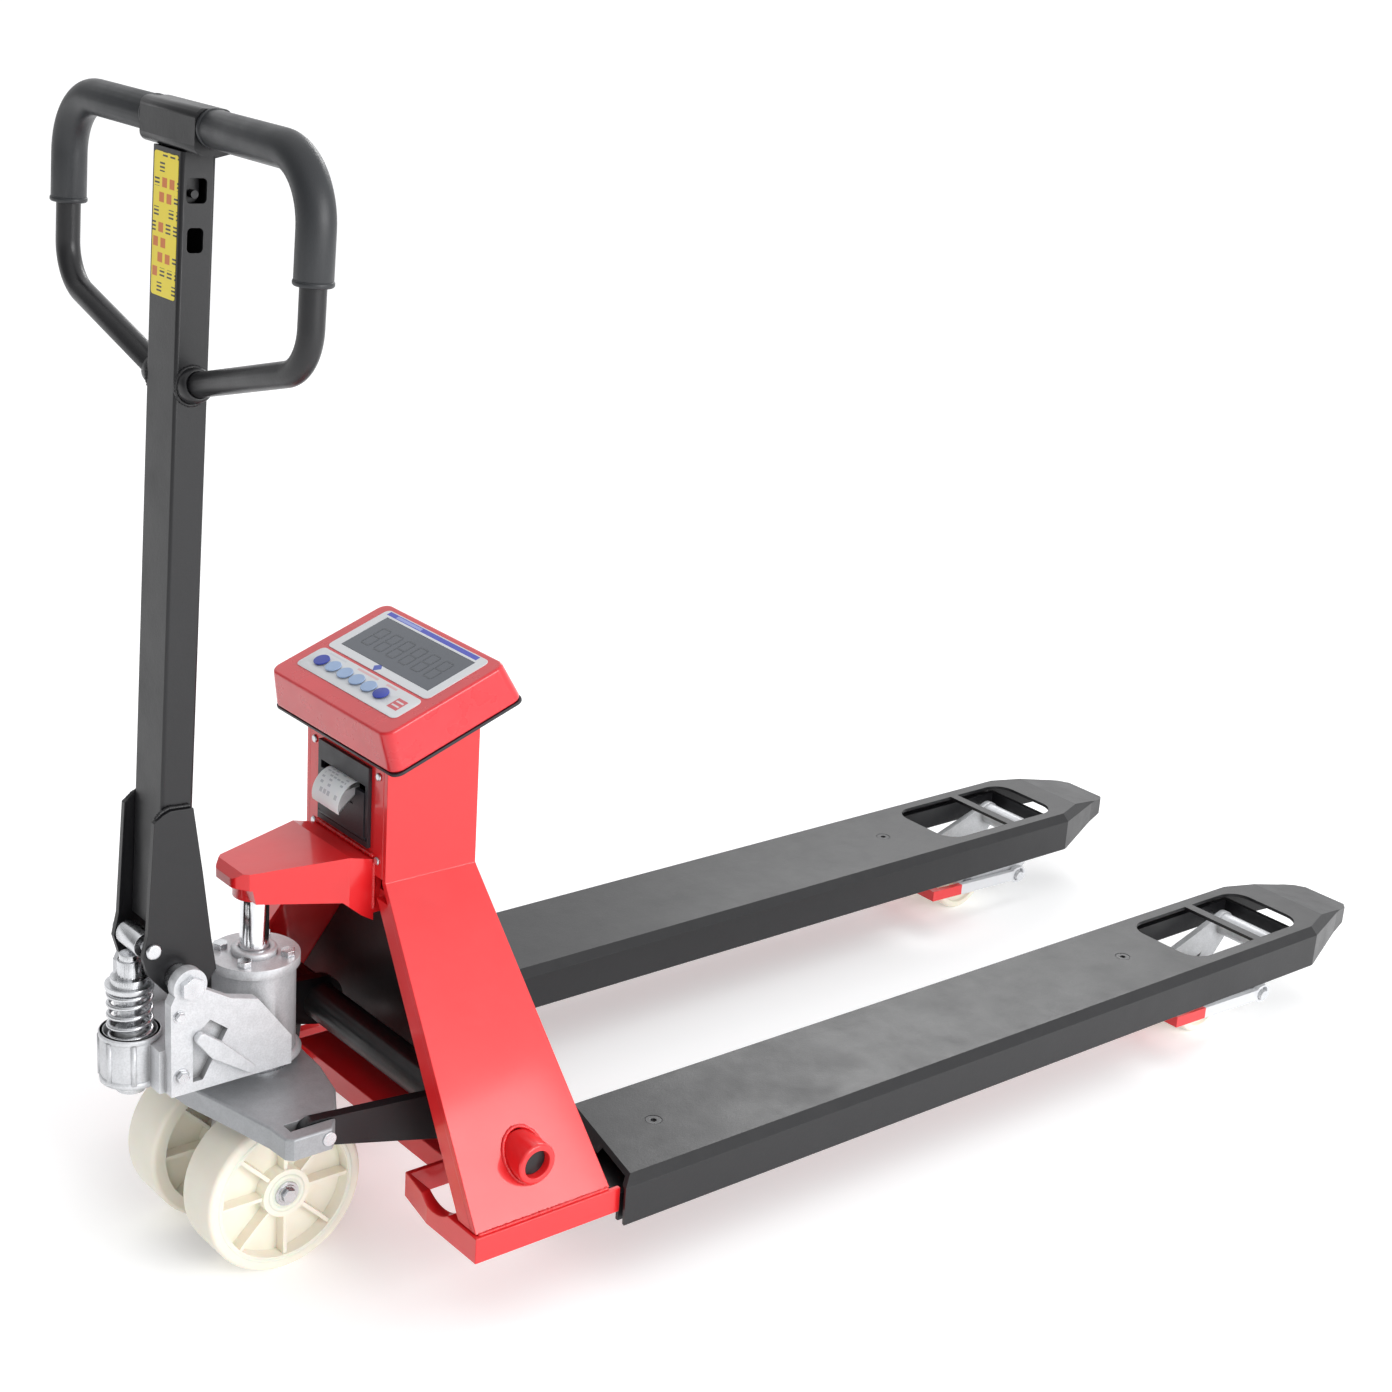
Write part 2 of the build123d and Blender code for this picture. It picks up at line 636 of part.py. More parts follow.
DOOR_HINGE = (COLUMN_FRONT - 3.0, PRINTER_Z[0] + 5.0)
DOOR_LOW = PRINTER_Z[0] + 2.8
DOOR_PIN_R = 2.0
DOOR_TOP = PRINTER_Z[1] - 24.0
PLATEN = (COLUMN_FRONT + 6.0, DOOR_TOP - 8.0)
PAPER_ROLL = (COLUMN_FRONT + 32.0, PRINTER_Z[0] + 31.0)
PAPER_HALF = 28.5
RECEIPT_HALF = 24.0
RECEIPT_THICK = 0.4
SPINDLE_R = 5.0


def printer_frame():
    """Black plastic bucket of the printer, with its front rim."""
    y, (z0, z1) = PRINTER_HALF - 0.3, PRINTER_Z
    x0 = COLUMN_FRONT
    wall = 2.5
    rim = block(x0 - 4, x0, -y - 3, y + 3, z0 - 3, z1 + 3)
    body = block(x0, x0 + PRINTER_DEPTH, -y, y, z0 + 0.3, z1 - 0.3)
    frame = rim + body
    frame -= block(x0 - 10, x0 + PRINTER_DEPTH - wall, -y + wall, y - wall, z0 + wall, DOOR_TOP + 7)
    frame -= block(x0 + 14, x0 + PRINTER_DEPTH - wall, -y + wall, y - wall, z0 + wall, z1 - wall)
    frame -= rod_y(*DOOR_HINGE, DOOR_PIN_R + FIT, -y + wall - 4, -y + wall + 1)
    frame -= rod_y(*DOOR_HINGE, DOOR_PIN_R + FIT, y - wall - 1, y - wall + 4)
    return frame + rod_y(*PAPER_ROLL, SPINDLE_R, -y + wall, y - wall)


def printer_door():
    """Paper door with two hinge pins and ears that hold the platen."""
    half = PRINTER_HALF - 0.3 - 2.5 - 0.5
    x0 = COLUMN_FRONT - 5
    hinge_x, hinge_z = DOOR_HINGE
    door = block(x0, x0 + 4, -half, half, hinge_z, DOOR_TOP)
    door += rod_y(*DOOR_HINGE, hinge_z - DOOR_LOW, -half, half)
    door += rod_y(*DOOR_HINGE, DOOR_PIN_R, -half - 3, half + 3)
    for turn in (-1, 1):
        a, b = sorted((turn * (half - 3), turn * (half - 0.2)))
        door += block(x0 + 3, PLATEN[0] + 4, a, b, PLATEN[1] - 5, PLATEN[1] + 5)
    door -= rod_y(*PLATEN, 2.5 + FIT, -half - 1, half + 1)
    door -= block(x0 - 1, x0 + 1.2, -20, 20, PRINTER_Z[0] + 34, PRINTER_Z[0] + 38)
    return door


def platen_roller():
    half = PRINTER_HALF - 0.3 - 2.5 - 0.5
    return rod_y(*PLATEN, 4.5, -PAPER_HALF, PAPER_HALF) + rod_y(*PLATEN, 2.5, -half + 0.3, half - 0.3)


def paper_roll():
    roll = rod_y(*PAPER_ROLL, 22, -PAPER_HALF, PAPER_HALF)
    return roll - rod_y(*PAPER_ROLL, SPINDLE_R + FIT, -PAPER_HALF - 1, PAPER_HALF + 1)


def receipt():
    """The printed strip that hangs out over the door."""
    x0 = COLUMN_FRONT - 5.5
    z = DOOR_TOP + 1.6
    spine = Spline((x0 + 12, 0, z + 1), (x0 - 3, 0, z + 3), (x0 - 15, 0, z - 8), (x0 - 17, 0, z - 26))
    ribbon = Plane(origin=spine @ 0, x_dir=(0, 1, 0), z_dir=spine % 0) * Rectangle(2 * RECEIPT_HALF, RECEIPT_THICK)
    return sweep(ribbon, path=spine)


def panel_screw(y, z):
    screw = rod_x(y, z, 4.0, COLUMN_FRONT - 2.2, COLUMN_FRONT)
    return fillet(screw.edges().sort_by(Axis.X)[0], 1.5)


# ---------------------------------------------------------------- carrier and steering unit

PLATE_TOP = 190.0
PLATE_LOW = 168.0
LOBE_HALF = 160.0
ARM_Y = (132.0, 144.0)
BARREL_R = 40.0
BARREL = (198.0, 292.0)
CAP_TOP = 302.0
HUB_R = 30.0
LINK_PIN_R = 7.0
LINK_PIN_Y = (ARM_Y[0] - 8, LOBE_HALF + 1.5)


def base_plate():
    """Flat cast plate above the wheels, with a forked lobe on each side for the link pin."""
    half = [
        (-328, 0), (-326, -20), (-311, -80), (-300, -128), (-298, -LOBE_HALF + 6), (-292, -LOBE_HALF),
        (-252, -LOBE_HALF), (-246, -LOBE_HALF + 6), (-228, -128), (-211, -98), (-200, -52), (-196, 0),
    ]
    plan = half + [(x, -y) for x, y in reversed(half[1:-1])]
    plate = prism_z(plan, PLATE_LOW, PLATE_TOP)
    rims = plate.faces().sort_by(Axis.Z)[-1].edges()
    plate = fillet(rims, 2.5)
    plate -= rod_z(STEER_X, 0, HUB_R + 3, PLATE_LOW - 1, PLATE_TOP + 1)
    for side in (-1, 1):
        a, b = sorted((side * (ARM_Y[0] - 1), side * (ARM_Y[1] + 1)))
        plate -= block(LINK[0] - 32, -170, a, b, PLATE_LOW - 1, PLATE_TOP + 1)
        c, d = sorted((side * LINK_PIN_Y[0], side * (LOBE_HALF + 2)))
        plate -= rod_y(*LINK, LINK_PIN_R, c, d)
    return plate


def link_pin(side):
    a, b = sorted((side * LINK_PIN_Y[0], side * LINK_PIN_Y[1]))
    return rod_y(*LINK, LINK_PIN_R, a, b)


def thrust_bearing():
    ring = rod_z(STEER_X, 0, 38, PLATE_TOP, BARREL[0])
    return ring - rod_z(STEER_X, 0, HUB_R + 2, PLATE_TOP - 1, BARREL[0] + 1)


EAR = (46.0, 58.0)
EAR_R = 17.0
TILLER_PIN_R = 9.0
CAP_R = 44.0
HUB_LOW = 110.0
CUP_FLOOR = 206.0
CUP_TOP = 256.0
CUP_BORE = 24.5
GUIDE = (193.5, 257.0)
GUIDE_R = 14.0
BOLT_R = 3.5


def pump_body():
    """Cast hydraulic unit: barrel, wheel hub, plunger cup and the two ears of the tiller."""
    body = rod_z(STEER_X, 0, BARREL_R, *BARREL)
    body += rod_z(STEER_X, 0, CAP_R, BARREL[1], CAP_TOP)
    body += rod_z(STEER_X, 0, HUB_R, HUB_LOW, BARREL[0])
    leg = [(STEER_X, HUB_LOW + 2, HUB_R - 1), (AXLE_X, WHEEL_RADIUS, HUB_R - 6)]
    body += link_plate(leg, -HUB_R + 1, HUB_R - 1)
    body += block(PLUNGER_X + 6, STEER_X, -EAR[0], EAR[0], CUP_FLOOR, CUP_TOP - 6)
    for side in (-1, 1):
        a, b = sorted((side * EAR[0], side * EAR[1]))
        wall = [
            (-362, CUP_FLOOR), (-236, CUP_FLOOR), (-236, 236), (-272, 284), (-300, 292), (-326, 308),
            (-358, 308), (-362, 300),
        ]
        body += prism_y(wall, a, b) + rod_y(TILLER_X, TILLER_Z, EAR_R, a, b)
        c, d = sorted((side * 50.0, side * 60.0))
        recess = prism_y([(-330, 216), (-304, 262), (-322, 276), (-340, 262), (-340, 216)], c, d)
        body -= recess
    body += rod_z(PLUNGER_X, 0, CUP_RADIUS, CUP_FLOOR, CUP_TOP)
    body -= rod_z(PLUNGER_X, 0, CUP_BORE, CUP_FLOOR + 6, CUP_TOP + 4)
    body += rod_z(PLUNGER_X, 0, GUIDE_R, *GUIDE)
    body -= rod_z(PLUNGER_X, 0, PLUNGER_R + FIT, GUIDE[0] - 1, GUIDE[1] + 1)
    body -= rod_y(TILLER_X, TILLER_Z, TILLER_PIN_R, -EAR[1] - 2, EAR[1] + 2)
    body -= rod_z(STEER_X, 0, ROD_R + FIT, HUB_LOW + 8, CAP_TOP + 1)
    body -= rod_y(AXLE_X, WHEEL_RADIUS, AXLE_R, -HUB_R - 10, HUB_R + 10)
    for x, y in CAP_BOLTS:
        body -= rod_z(x, y, BOLT_R, CAP_TOP - 8, CAP_TOP + 1)
    return body


AXLE_R = 12.5
BOLT_CIRCLE = 33.0
CAP_BOLTS = [
    (STEER_X + BOLT_CIRCLE * math.cos(math.radians(a)), BOLT_CIRCLE * math.sin(math.radians(a)))
    for a in (45, 135, 225, 315)
]


def cap_bolt(x, y):
    head = extrude(Pos(x, y, CAP_TOP) * RegularPolygon(7.5, 6), 6)
    return head + rod_z(x, y, BOLT_R, CAP_TOP - 7.5, CAP_TOP)


def wheel_axle():
    reach = WHEEL_Y + WHEEL_WIDTH / 2 + 2
    return rod_y(AXLE_X, WHEEL_RADIUS, AXLE_R, -reach, reach)


def steer_wheel():
    """Nylon wheel: solid tread, ribbed web and hub, with a running bore."""
    half = WHEEL_WIDTH / 2
    web = 12.0
    wheel = rod_y(AXLE_X, WHEEL_RADIUS, WHEEL_RADIUS, -half, half)
    wheel = fillet(wheel.edges().filter_by(GeomType.CIRCLE), 5)
    for turn in (-1, 1):
        a, b = sorted((turn * (half + 1), turn * web))
        ring = rod_y(AXLE_X, WHEEL_RADIUS, 68, a, b) - rod_y(AXLE_X, WHEEL_RADIUS, 25, a, b)
        for index in range(8):
            spin = Pos(AXLE_X, 0, WHEEL_RADIUS) * Rot(0, 45 * index, 0)
            ring -= spin * Pos(46, (a + b) / 2 - turn * 1.5, 0) * Box(56, abs(b - a) - 3, 4)
        wheel -= ring
    wheel -= rod_y(AXLE_X, WHEEL_RADIUS, AXLE_R + FIT, -half - 1, half + 1)
    return Pos(0, -WHEEL_Y, 0) * wheel


# ---------------------------------------------------------------- tiller

POST_HALF_Y = 26.0
POST_HALF_X = 16.0
POST_X = TILLER_X - 2.4
POST_LOW = 362.0
POST_WALL = 2.5
HEAD = (1060.0, 1098.0)
HEAD_HALF = 48.0
HEAD_HALF_X = 17.0
LOWER_BEND = 916.0
CHEEK = (26.0, 32.0)
GRIP_R = 16.0
TUBE_R = 11.0
GRIP_END = 985.0
PRESS = (-366.0, 346.0)
PRESS_R = 12.0
PRESS_HALF = 18.0
PRESS_PIN_R = 5.0
LEVER_PIVOT = (POST_X - 1, 1025.0)
LEVER_ELBOW = (POST_X + 2, 1054.0)
LEVER_FINGER = (POST_X + 34, 1062.0)
LEVER_Y = (-14.0, -10.0)
LEVER_REACH = 118.0
LEVER_PIN_R = 3.5
LEVER_SLOT = (POST_X - 10, POST_X + 18, LEVER_Y[0] - 2, LEVER_Y[1] + 2, 1045.0, 1072.0)
POST_HOLES = ((-11, 8, 1018, 1039), (-9, 6, 977, 998))


def lean(shape):
    """Turn a piece drawn upright over the tiller pivot to the rest angle."""
    return Pos(TILLER_X, 0, TILLER_Z) * Rot(0, TILLER_LEAN, 0) * Pos(-TILLER_X, 0, -TILLER_Z) * shape


def handle_bracket():
    """Black channel at the foot of the tiller: two cheeks welded to the post, joined behind it."""
    outline = [
        (-376, 340), (-371, 362), (-363.4, 471), (-354.8, 477), (-347, 480), (-324.3, 478.5), (-314.8, 411),
        (-306.7, 345), (-301.5, 312), (-312, 299), (-352, 299), (-371, 322),
    ]
    part = prism_y([(-320, 345), (-313, 345), (-317, 402), (-321, 402)], -CHEEK[1], CHEEK[1])
    for side in (-1, 1):
        a, b = sorted((side * CHEEK[0], side * CHEEK[1]))
        part += prism_y(outline, a, b)
    part -= rod_y(TILLER_X, TILLER_Z, TILLER_PIN_R + FIT, -60, 60)
    part -= rod_y(*PRESS, PRESS_PIN_R, -60, 60)
    return part


def post_box(inset, low, high):
    """The outside of the post, or with an inset its inside."""
    x, y = POST_HALF_X - inset, POST_HALF_Y - inset
    tube = block(POST_X - x, POST_X + x, -y, y, low, high)
    return fillet(tube.edges().filter_by(Axis.Z), 3.2 - inset)


def handle_post():
    """Rectangular tube with a clamp head for the grip bar, a lever slot and two side holes."""
    tube = post_box(0, POST_LOW, HEAD[0]) - post_box(POST_WALL, POST_LOW - 1, HEAD[0] + 1)
    head = block(POST_X - HEAD_HALF_X, POST_X + HEAD_HALF_X, -HEAD_HALF, HEAD_HALF, *HEAD)
    head = fillet(head.edges().filter_by(Axis.Y), 8)
    post = tube + head
    post -= rod_y(POST_X, HANDLE_TOP, TUBE_R, -HEAD_HALF - 1, HEAD_HALF + 1)
    post -= block(*LEVER_SLOT)
    post -= rod_y(*LEVER_PIVOT, LEVER_PIN_R + FIT, POST_HALF_Y - POST_WALL - 1, POST_HALF_Y + 1)
    for x0, x1, z0, z1 in POST_HOLES:
        hole = block(POST_X + x0, POST_X + x1, -POST_HALF_Y - 1, 0, z0, z1)
        post -= fillet(hole.edges().filter_by(Axis.Y), 4)
    return lean(post)


def handle_loop():
    """Bent tube of the handle, welded to both sides of the post."""
    path = FilletPolyline(
        (POST_X, -20, HANDLE_LOW), (POST_X, -HANDLE_HALF, LOWER_BEND), (POST_X, -HANDLE_HALF, HANDLE_TOP),
        (POST_X, HANDLE_HALF, HANDLE_TOP), (POST_X, HANDLE_HALF, LOWER_BEND), (POST_X, 20, HANDLE_LOW),
        radius=[45, 55, 55, 45],
    )
    tube = sweep(Plane(origin=path @ 0, z_dir=path % 0) * Circle(TUBE_R), path=path)
    tube -= block(POST_X - 20, POST_X + 20, -POST_HALF_Y, POST_HALF_Y, HANDLE_LOW - 30, HANDLE_LOW + 30)
    return lean(tube)


def hand_grip():
    """Soft sleeve from the clamp head round the corner and down the side."""
    path = FilletPolyline(
        (POST_X, -HEAD_HALF, HANDLE_TOP), (POST_X, -HANDLE_HALF, HANDLE_TOP), (POST_X, -HANDLE_HALF, GRIP_END),
        radius=55,
    )
    ring = Circle(GRIP_R) - Circle(TUBE_R + 0.02)
    return lean(sweep(Plane(origin=path @ 0, z_dir=path % 0) * ring, path=path))


def tiller_shaft():
    """Hinge bolt of the tiller, with spacer rings, a hexagon head and a nut."""
    shaft = rod_y(TILLER_X, TILLER_Z, TILLER_PIN_R, -EAR[1] - 6, EAR[1] + 6)
    for side in (-1, 1):
        outer = side * EAR[1]
        hexagon = Plane(origin=(TILLER_X, outer, TILLER_Z), z_dir=(0, side, 0)) * RegularPolygon(12, 6)
        shaft += extrude(hexagon, 7)
        a, b = sorted((side * (CHEEK[1] + GAP), side * EAR[0]))
        shaft += rod_y(TILLER_X, TILLER_Z, 13, a, b)
    return shaft


def press_roller():
    """Roller between the cheeks that pushes the pump plunger down, on a pin with round heads."""
    head = CHEEK[1] + 4
    roller = rod_y(*PRESS, PRESS_R, -PRESS_HALF, PRESS_HALF) + rod_y(*PRESS, PRESS_PIN_R, -head, head)
    for side in (-1, 1):
        a, b = sorted((side * CHEEK[1], side * head))
        dome = rod_y(*PRESS, 7.5, a, b)
        roller += fillet(dome.edges().sort_by(Axis.Y)[-1 if side > 0 else 0], 2)
    return roller


def control_lever():
    """Finger lever behind the grip bar, hinged inside the post: lift, neutral and lower."""
    inner, outer = LEVER_Y[1], POST_HALF_Y + 3
    arm = link_plate([(*LEVER_PIVOT, 8), (*LEVER_ELBOW, 5), (*LEVER_FINGER, 5)], *LEVER_Y)
    arm += rod_y(*LEVER_PIVOT, LEVER_PIN_R, LEVER_Y[0] - 8, outer)
    arm += rod_y(*LEVER_PIVOT, LEVER_PIN_R + 3, outer - 2.5, outer)
    arm += rod_y(*LEVER_FINGER, 4.5, -LEVER_REACH, inner)
    arm += Pos(LEVER_FINGER[0], -LEVER_REACH, LEVER_FINGER[1]) * Sphere(6.5)
    return lean(arm)


RELEASE_PIVOT = (-318.0, 246.0)


def release_lever():
    """Cast lever on the side of the pump that opens the lowering valve."""
    y0 = -EAR[1] - GAP
    lever = link_plate([(-334, 262, 6), (*RELEASE_PIVOT, 9), (-284, 218, 5)], y0 - 8, y0)
    return lever


PLUNGER_TOP = PRESS[1] - PRESS_R - 0.5
PLUNGER_R = 11.0
PLUNGER_LOW = 243.0
SPRING = (214.0, 299.0)
SPRING_R = 19.5
SPRING_WIRE = 2.4
SPRING_TURNS = 7
HAT_R = 22.5
HAT_CROWN_R = 17.5
HAT_TOP = SPRING[1] + 12


def pump_plunger():
    """Plunger with a hollow spring cap that sinks over the top of its guide."""
    plunger = rod_z(PLUNGER_X, 0, HAT_R, SPRING[1], SPRING[1] + 5)
    plunger += rod_z(PLUNGER_X, 0, HAT_CROWN_R, SPRING[1] + 5, HAT_TOP)
    plunger -= rod_z(PLUNGER_X, 0, GUIDE_R + 0.8, SPRING[1] - 1, HAT_TOP - 3)
    plunger += rod_z(PLUNGER_X, 0, PLUNGER_R, PLUNGER_LOW, PLUNGER_TOP - 6)
    plunger += rod_z(PLUNGER_X, 0, PLUNGER_R - 2, PLUNGER_TOP - 6, PLUNGER_TOP)
    return plunger


def pump_spring():
    """Return spring of the plunger."""
    low, high = SPRING[0] + SPRING_WIRE, SPRING[1] - SPRING_WIRE
    helix = Pos(PLUNGER_X, 0, low) * Helix((high - low) / SPRING_TURNS, high - low, SPRING_R)
    return sweep(Plane(origin=helix @ 0, z_dir=helix % 0) * Circle(SPRING_WIRE), path=helix)


# ---------------------------------------------------------------- rocker

ROCKER_TUBE_R = 20.0
ROCKER_Y = (FORK_Y - 16, FORK_Y - 7, FORK_Y + 7, FORK_Y + 16)


def link_pin_path():
    """Where the link pin goes in the rocker's own frame as the platform rises."""
    return [turned((LINK[0], LINK[1] - lift), PIVOT, -ROCKER_RATE * lift) for lift in LIFTS]


def rocker():
    """Welded rocker: a cross tube, two arms to the carrier and two levers to the push rods."""
    path = link_pin_path()
    end = min(path)
    part = rod_y(*PIVOT, ROCKER_TUBE_R, -ROCKER_Y[3], ROCKER_Y[3])
    for side in (-1, 1):
        a, b = sorted((side * ARM_Y[0], side * ARM_Y[1]))
        arm = link_plate([(*PIVOT, 27), (*end, 13)], a, b)
        arm -= slot_along(path, LINK_PIN_R + 0.6, a - 1, b + 1)
        part += arm
        for low, high in (ROCKER_Y[:2], ROCKER_Y[2:]):
            c, d = sorted((side * low, side * high))
            part += link_plate([(*PIVOT, ROCKER_TUBE_R), (*ROD_REAR, 13)], c, d)
    part -= rod_y(*PIVOT, SHAFT_R + FIT, -300, 300)
    part -= rod_y(*ROD_REAR, ROD_PIN_R, -300, 300)
    return part


def rocker_pin():
    return rod_y(*ROD_REAR, ROD_PIN_R, -ROCKER_Y[3] - 3, -ROCKER_Y[0] + 3)


def rocker_shaft():
    return rod_y(*PIVOT, SHAFT_R, -BOSS_OUT + 8, BOSS_OUT - 8)


# ---------------------------------------------------------------- writing the pieces

def pair(piece):
    return piece, flipped(piece)


def main():
    os.makedirs("parts", exist_ok=True)
    for side_name, side in SIDES.items():
        write(f"{side_name}_side_plate", on_side(side_plate(), side))
        write(f"{side_name}_foot", on_side(foot(), side))
        write(f"{side_name}_inner_fork", on_side(inner_fork(), side))
        write(f"{side_name}_fork_cover", on_side(fork_cover(), side))
        write(f"{side_name}_load_roller", on_side(load_roller(), side))
        write(f"{side_name}_steer_wheel", on_side(steer_wheel(), side))
    write("foot_crossmember", foot_crossmember())
    write("column_front", column_front())
    write("rear_panel", rear_panel())
    write("pivot_bosses", *pair(pivot_boss()))
    write("rocker_shaft", rocker_shaft())
    write("head_bracket", head_bracket())
    write("piston_rod", piston_rod())
    write("load_cells", *[piece for x in CELL_X for piece in pair(load_cell(x))])
    write("yokes", *pair(yoke()))
    write("yoke_pins", *pair(yoke_pin()))
    write("roller_axles", *pair(roller_axle()))
    write("push_rods", *pair(push_rod()))
    write("console_housing", console_housing())
    write("console_tray", console_tray())
    write("overlay_sheets", overlay_sheet(DISPLAY_X, DISPLAY_SIZE, LCD_SIZE), keypad_sheet())
    write("lcd_window", lcd_window())
    write("circuit_board", circuit_board())
    write("battery", battery())
    for index, y in enumerate(KEY_Y):
        write(f"key_{index + 1}", key(y))
    write("printer_frame", printer_frame())
    write("printer_door", printer_door())
    write("platen_roller", platen_roller())
    write("paper_roll", paper_roll())
    write("receipt", receipt())
    corners = [(y, z) for y in (-58, 58) for z in (PRINTER_Z[0] - 12, PRINTER_Z[1] - 2)]
    screws = [panel_screw(y, z) for y, z in corners]
    screws += [piece for x in CELL_X for piece in pair(cover_screw(x))]
    write("screws", *screws)
    write("base_plate", base_plate())
    write("thrust_bearing", thrust_bearing())
    write("link_pins", link_pin(-1), link_pin(1))
    write("pump_body", pump_body())
    write("cap_bolts", *[cap_bolt(x, y) for x, y in CAP_BOLTS])
    write("wheel_axle", wheel_axle())
    write("handle_bracket", handle_bracket())
    write("handle_post", handle_post())
    write("handle_loop", handle_loop())
    write("hand_grips", *pair(hand_grip()))
    write("tiller_shaft", tiller_shaft())
    write("press_roller", press_roller())
    write("control_lever", control_lever())
    write("release_lever", release_lever())
    write("pump_plunger", pump_plunger())
    write("pump_spring", pump_spring())
    write("rocker", rocker())
    write("rocker_pins", *pair(rocker_pin()))


main()
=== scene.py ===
"""Looks for the hand pallet truck with a built-in scale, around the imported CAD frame."""

import math
import random

import bmesh
import bpy
from mathutils import Matrix, Vector


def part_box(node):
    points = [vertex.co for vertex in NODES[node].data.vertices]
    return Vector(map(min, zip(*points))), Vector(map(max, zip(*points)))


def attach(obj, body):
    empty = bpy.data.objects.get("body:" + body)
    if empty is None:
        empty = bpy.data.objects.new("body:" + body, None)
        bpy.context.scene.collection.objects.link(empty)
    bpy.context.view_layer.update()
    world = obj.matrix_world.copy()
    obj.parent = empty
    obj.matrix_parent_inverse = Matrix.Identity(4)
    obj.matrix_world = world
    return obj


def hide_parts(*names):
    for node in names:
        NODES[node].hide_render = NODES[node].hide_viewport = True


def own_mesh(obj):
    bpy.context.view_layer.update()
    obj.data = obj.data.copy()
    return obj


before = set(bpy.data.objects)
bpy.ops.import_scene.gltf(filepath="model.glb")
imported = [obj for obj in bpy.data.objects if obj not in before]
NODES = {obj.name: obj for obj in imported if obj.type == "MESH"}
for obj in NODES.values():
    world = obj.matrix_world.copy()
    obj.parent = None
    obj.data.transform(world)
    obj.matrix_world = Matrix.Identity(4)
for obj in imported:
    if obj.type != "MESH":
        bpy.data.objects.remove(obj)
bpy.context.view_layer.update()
random.seed(7)

# Places that the CAD gives. Lengths in millimetres are measured from the fork heels.
HEEL_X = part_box("right_fork_cover")[0][0]


def heel(x, y, z):
    """A point in millimetres from the fork heels, as part.py draws it, in the row's metres."""
    return Vector((HEEL_X + x / 1000, y / 1000, z / 1000))


CONSOLE_TILT = math.radians(20)
CONSOLE_ORIGIN = heel(-161, 0, 501)
CONSOLE_TOP = 0.0438
ROD_SILVER_X = heel(905, 0, 0).x

TILLER = (-342, 315)
TILLER_LEAN = math.radians(2.4)
POST_X, POST_HALF_X, POST_HALF_Y = -344.4, 16, 26
HANDLE_HALF, HANDLE_LOW, HANDLE_TOP, LOWER_BEND, LOOP_START = 215, 863, 1082, 916, 20
HEAD_HALF, GRIP_END = 48, 985
AXLE_X, WHEEL_RADIUS = -255, 83
STEER_X, BARREL_LOW, CAP_TOP = -244, 198, 302
PLUNGER_X, CUP_FLOOR = -374, 206
SPRING_LOW, SPRING_HIGH, SPRING_WIRE, SPRING_R = 0.2140, 0.2990, 0.0024, 0.0195
PIVOT_X, PIVOT_Z = -90, 150
COLUMN_FRONT, COLUMN_HALF, COLUMN_KINK = -145, 73, 378
LEG_BOTTOM_Y, LEG_BOTTOM_Z = 272, 105
BRACKET_HALF = 53

# ---------------------------------------------------------------- node helpers


def new_material(name):
    material = bpy.data.materials.new(name)
    material.use_nodes = True
    tree = material.node_tree
    return material, tree, tree.nodes["Principled BSDF"]


def add(tree, kind, **values):
    """A node with its sockets, by name, set to numbers or linked to outputs."""
    node = tree.nodes.new(kind)
    for name, value in values.items():
        if hasattr(node, name) and name not in node.inputs:
            setattr(node, name, value)
            continue
        socket = node.inputs[name.replace("_", " ")]
        if isinstance(value, bpy.types.NodeSocket):
            tree.links.new(value, socket)
        else:
            socket.default_value = value
    return node


def place(tree):
    """Object coordinates: metres in the row frame, before the part moves."""
    return add(tree, "ShaderNodeTexCoord").outputs["Object"]


def grain(tree, scale, detail=4.0, roughness=0.55, distortion=0.0, vector=None):
    return add(
        tree, "ShaderNodeTexNoise", Vector=vector or place(tree), Scale=scale,
        Detail=detail, Roughness=roughness, Distortion=distortion,
    ).outputs["Fac"]


def ramp(tree, fac, *stops):
    """A colour or grey ramp. Each stop is (position, value)."""
    node = add(tree, "ShaderNodeValToRGB", Fac=fac)
    while len(node.color_ramp.elements) < len(stops):
        node.color_ramp.elements.new(1.0)
    for element, (position, value) in zip(node.color_ramp.elements, stops):
        element.position = position
        element.color = (*value, 1) if isinstance(value, tuple) else (value, value, value, 1)
    return node.outputs["Color"]


def mix(tree, fac, first, second, blend="MIX"):
    node = tree.nodes.new("ShaderNodeMix")
    node.data_type = "RGBA"
    node.blend_type = blend
    for socket, value in ((node.inputs[0], fac), (node.inputs[6], first), (node.inputs[7], second)):
        if isinstance(value, bpy.types.NodeSocket):
            tree.links.new(value, socket)
        elif isinstance(value, tuple):
            socket.default_value = (*value, 1)
        else:
            socket.default_value = value
    return node.outputs[2]


def math_node(tree, operation, first, second=0.0, clamp=False):
    node = tree.nodes.new("ShaderNodeMath")
    node.operation = operation
    node.use_clamp = clamp
    for socket, value in zip(node.inputs, (first, second)):
        if isinstance(value, bpy.types.NodeSocket):
            tree.links.new(value, socket)
        else:
            socket.default_value = value
    return node.outputs[0]


def edges(tree, radius, low=0.02, high=0.25):
    """1 on convex and concave edges, 0 on flats, from how far a rounded normal turns."""
    rounded = add(tree, "ShaderNodeBevel", Radius=radius, samples=6).outputs["Normal"]
    flat = add(tree, "ShaderNodeNewGeometry").outputs["Normal"]
    dot = tree.nodes.new("ShaderNodeVectorMath")
    dot.operation = "DOT_PRODUCT"
    tree.links.new(rounded, dot.inputs[0])
    tree.links.new(flat, dot.inputs[1])
    turned = math_node(tree, "SUBTRACT", 1.0, dot.outputs["Value"], clamp=True)
    return add(
        tree, "ShaderNodeMapRange", Value=turned, From_Min=low, From_Max=high,
    ).outputs["Result"]


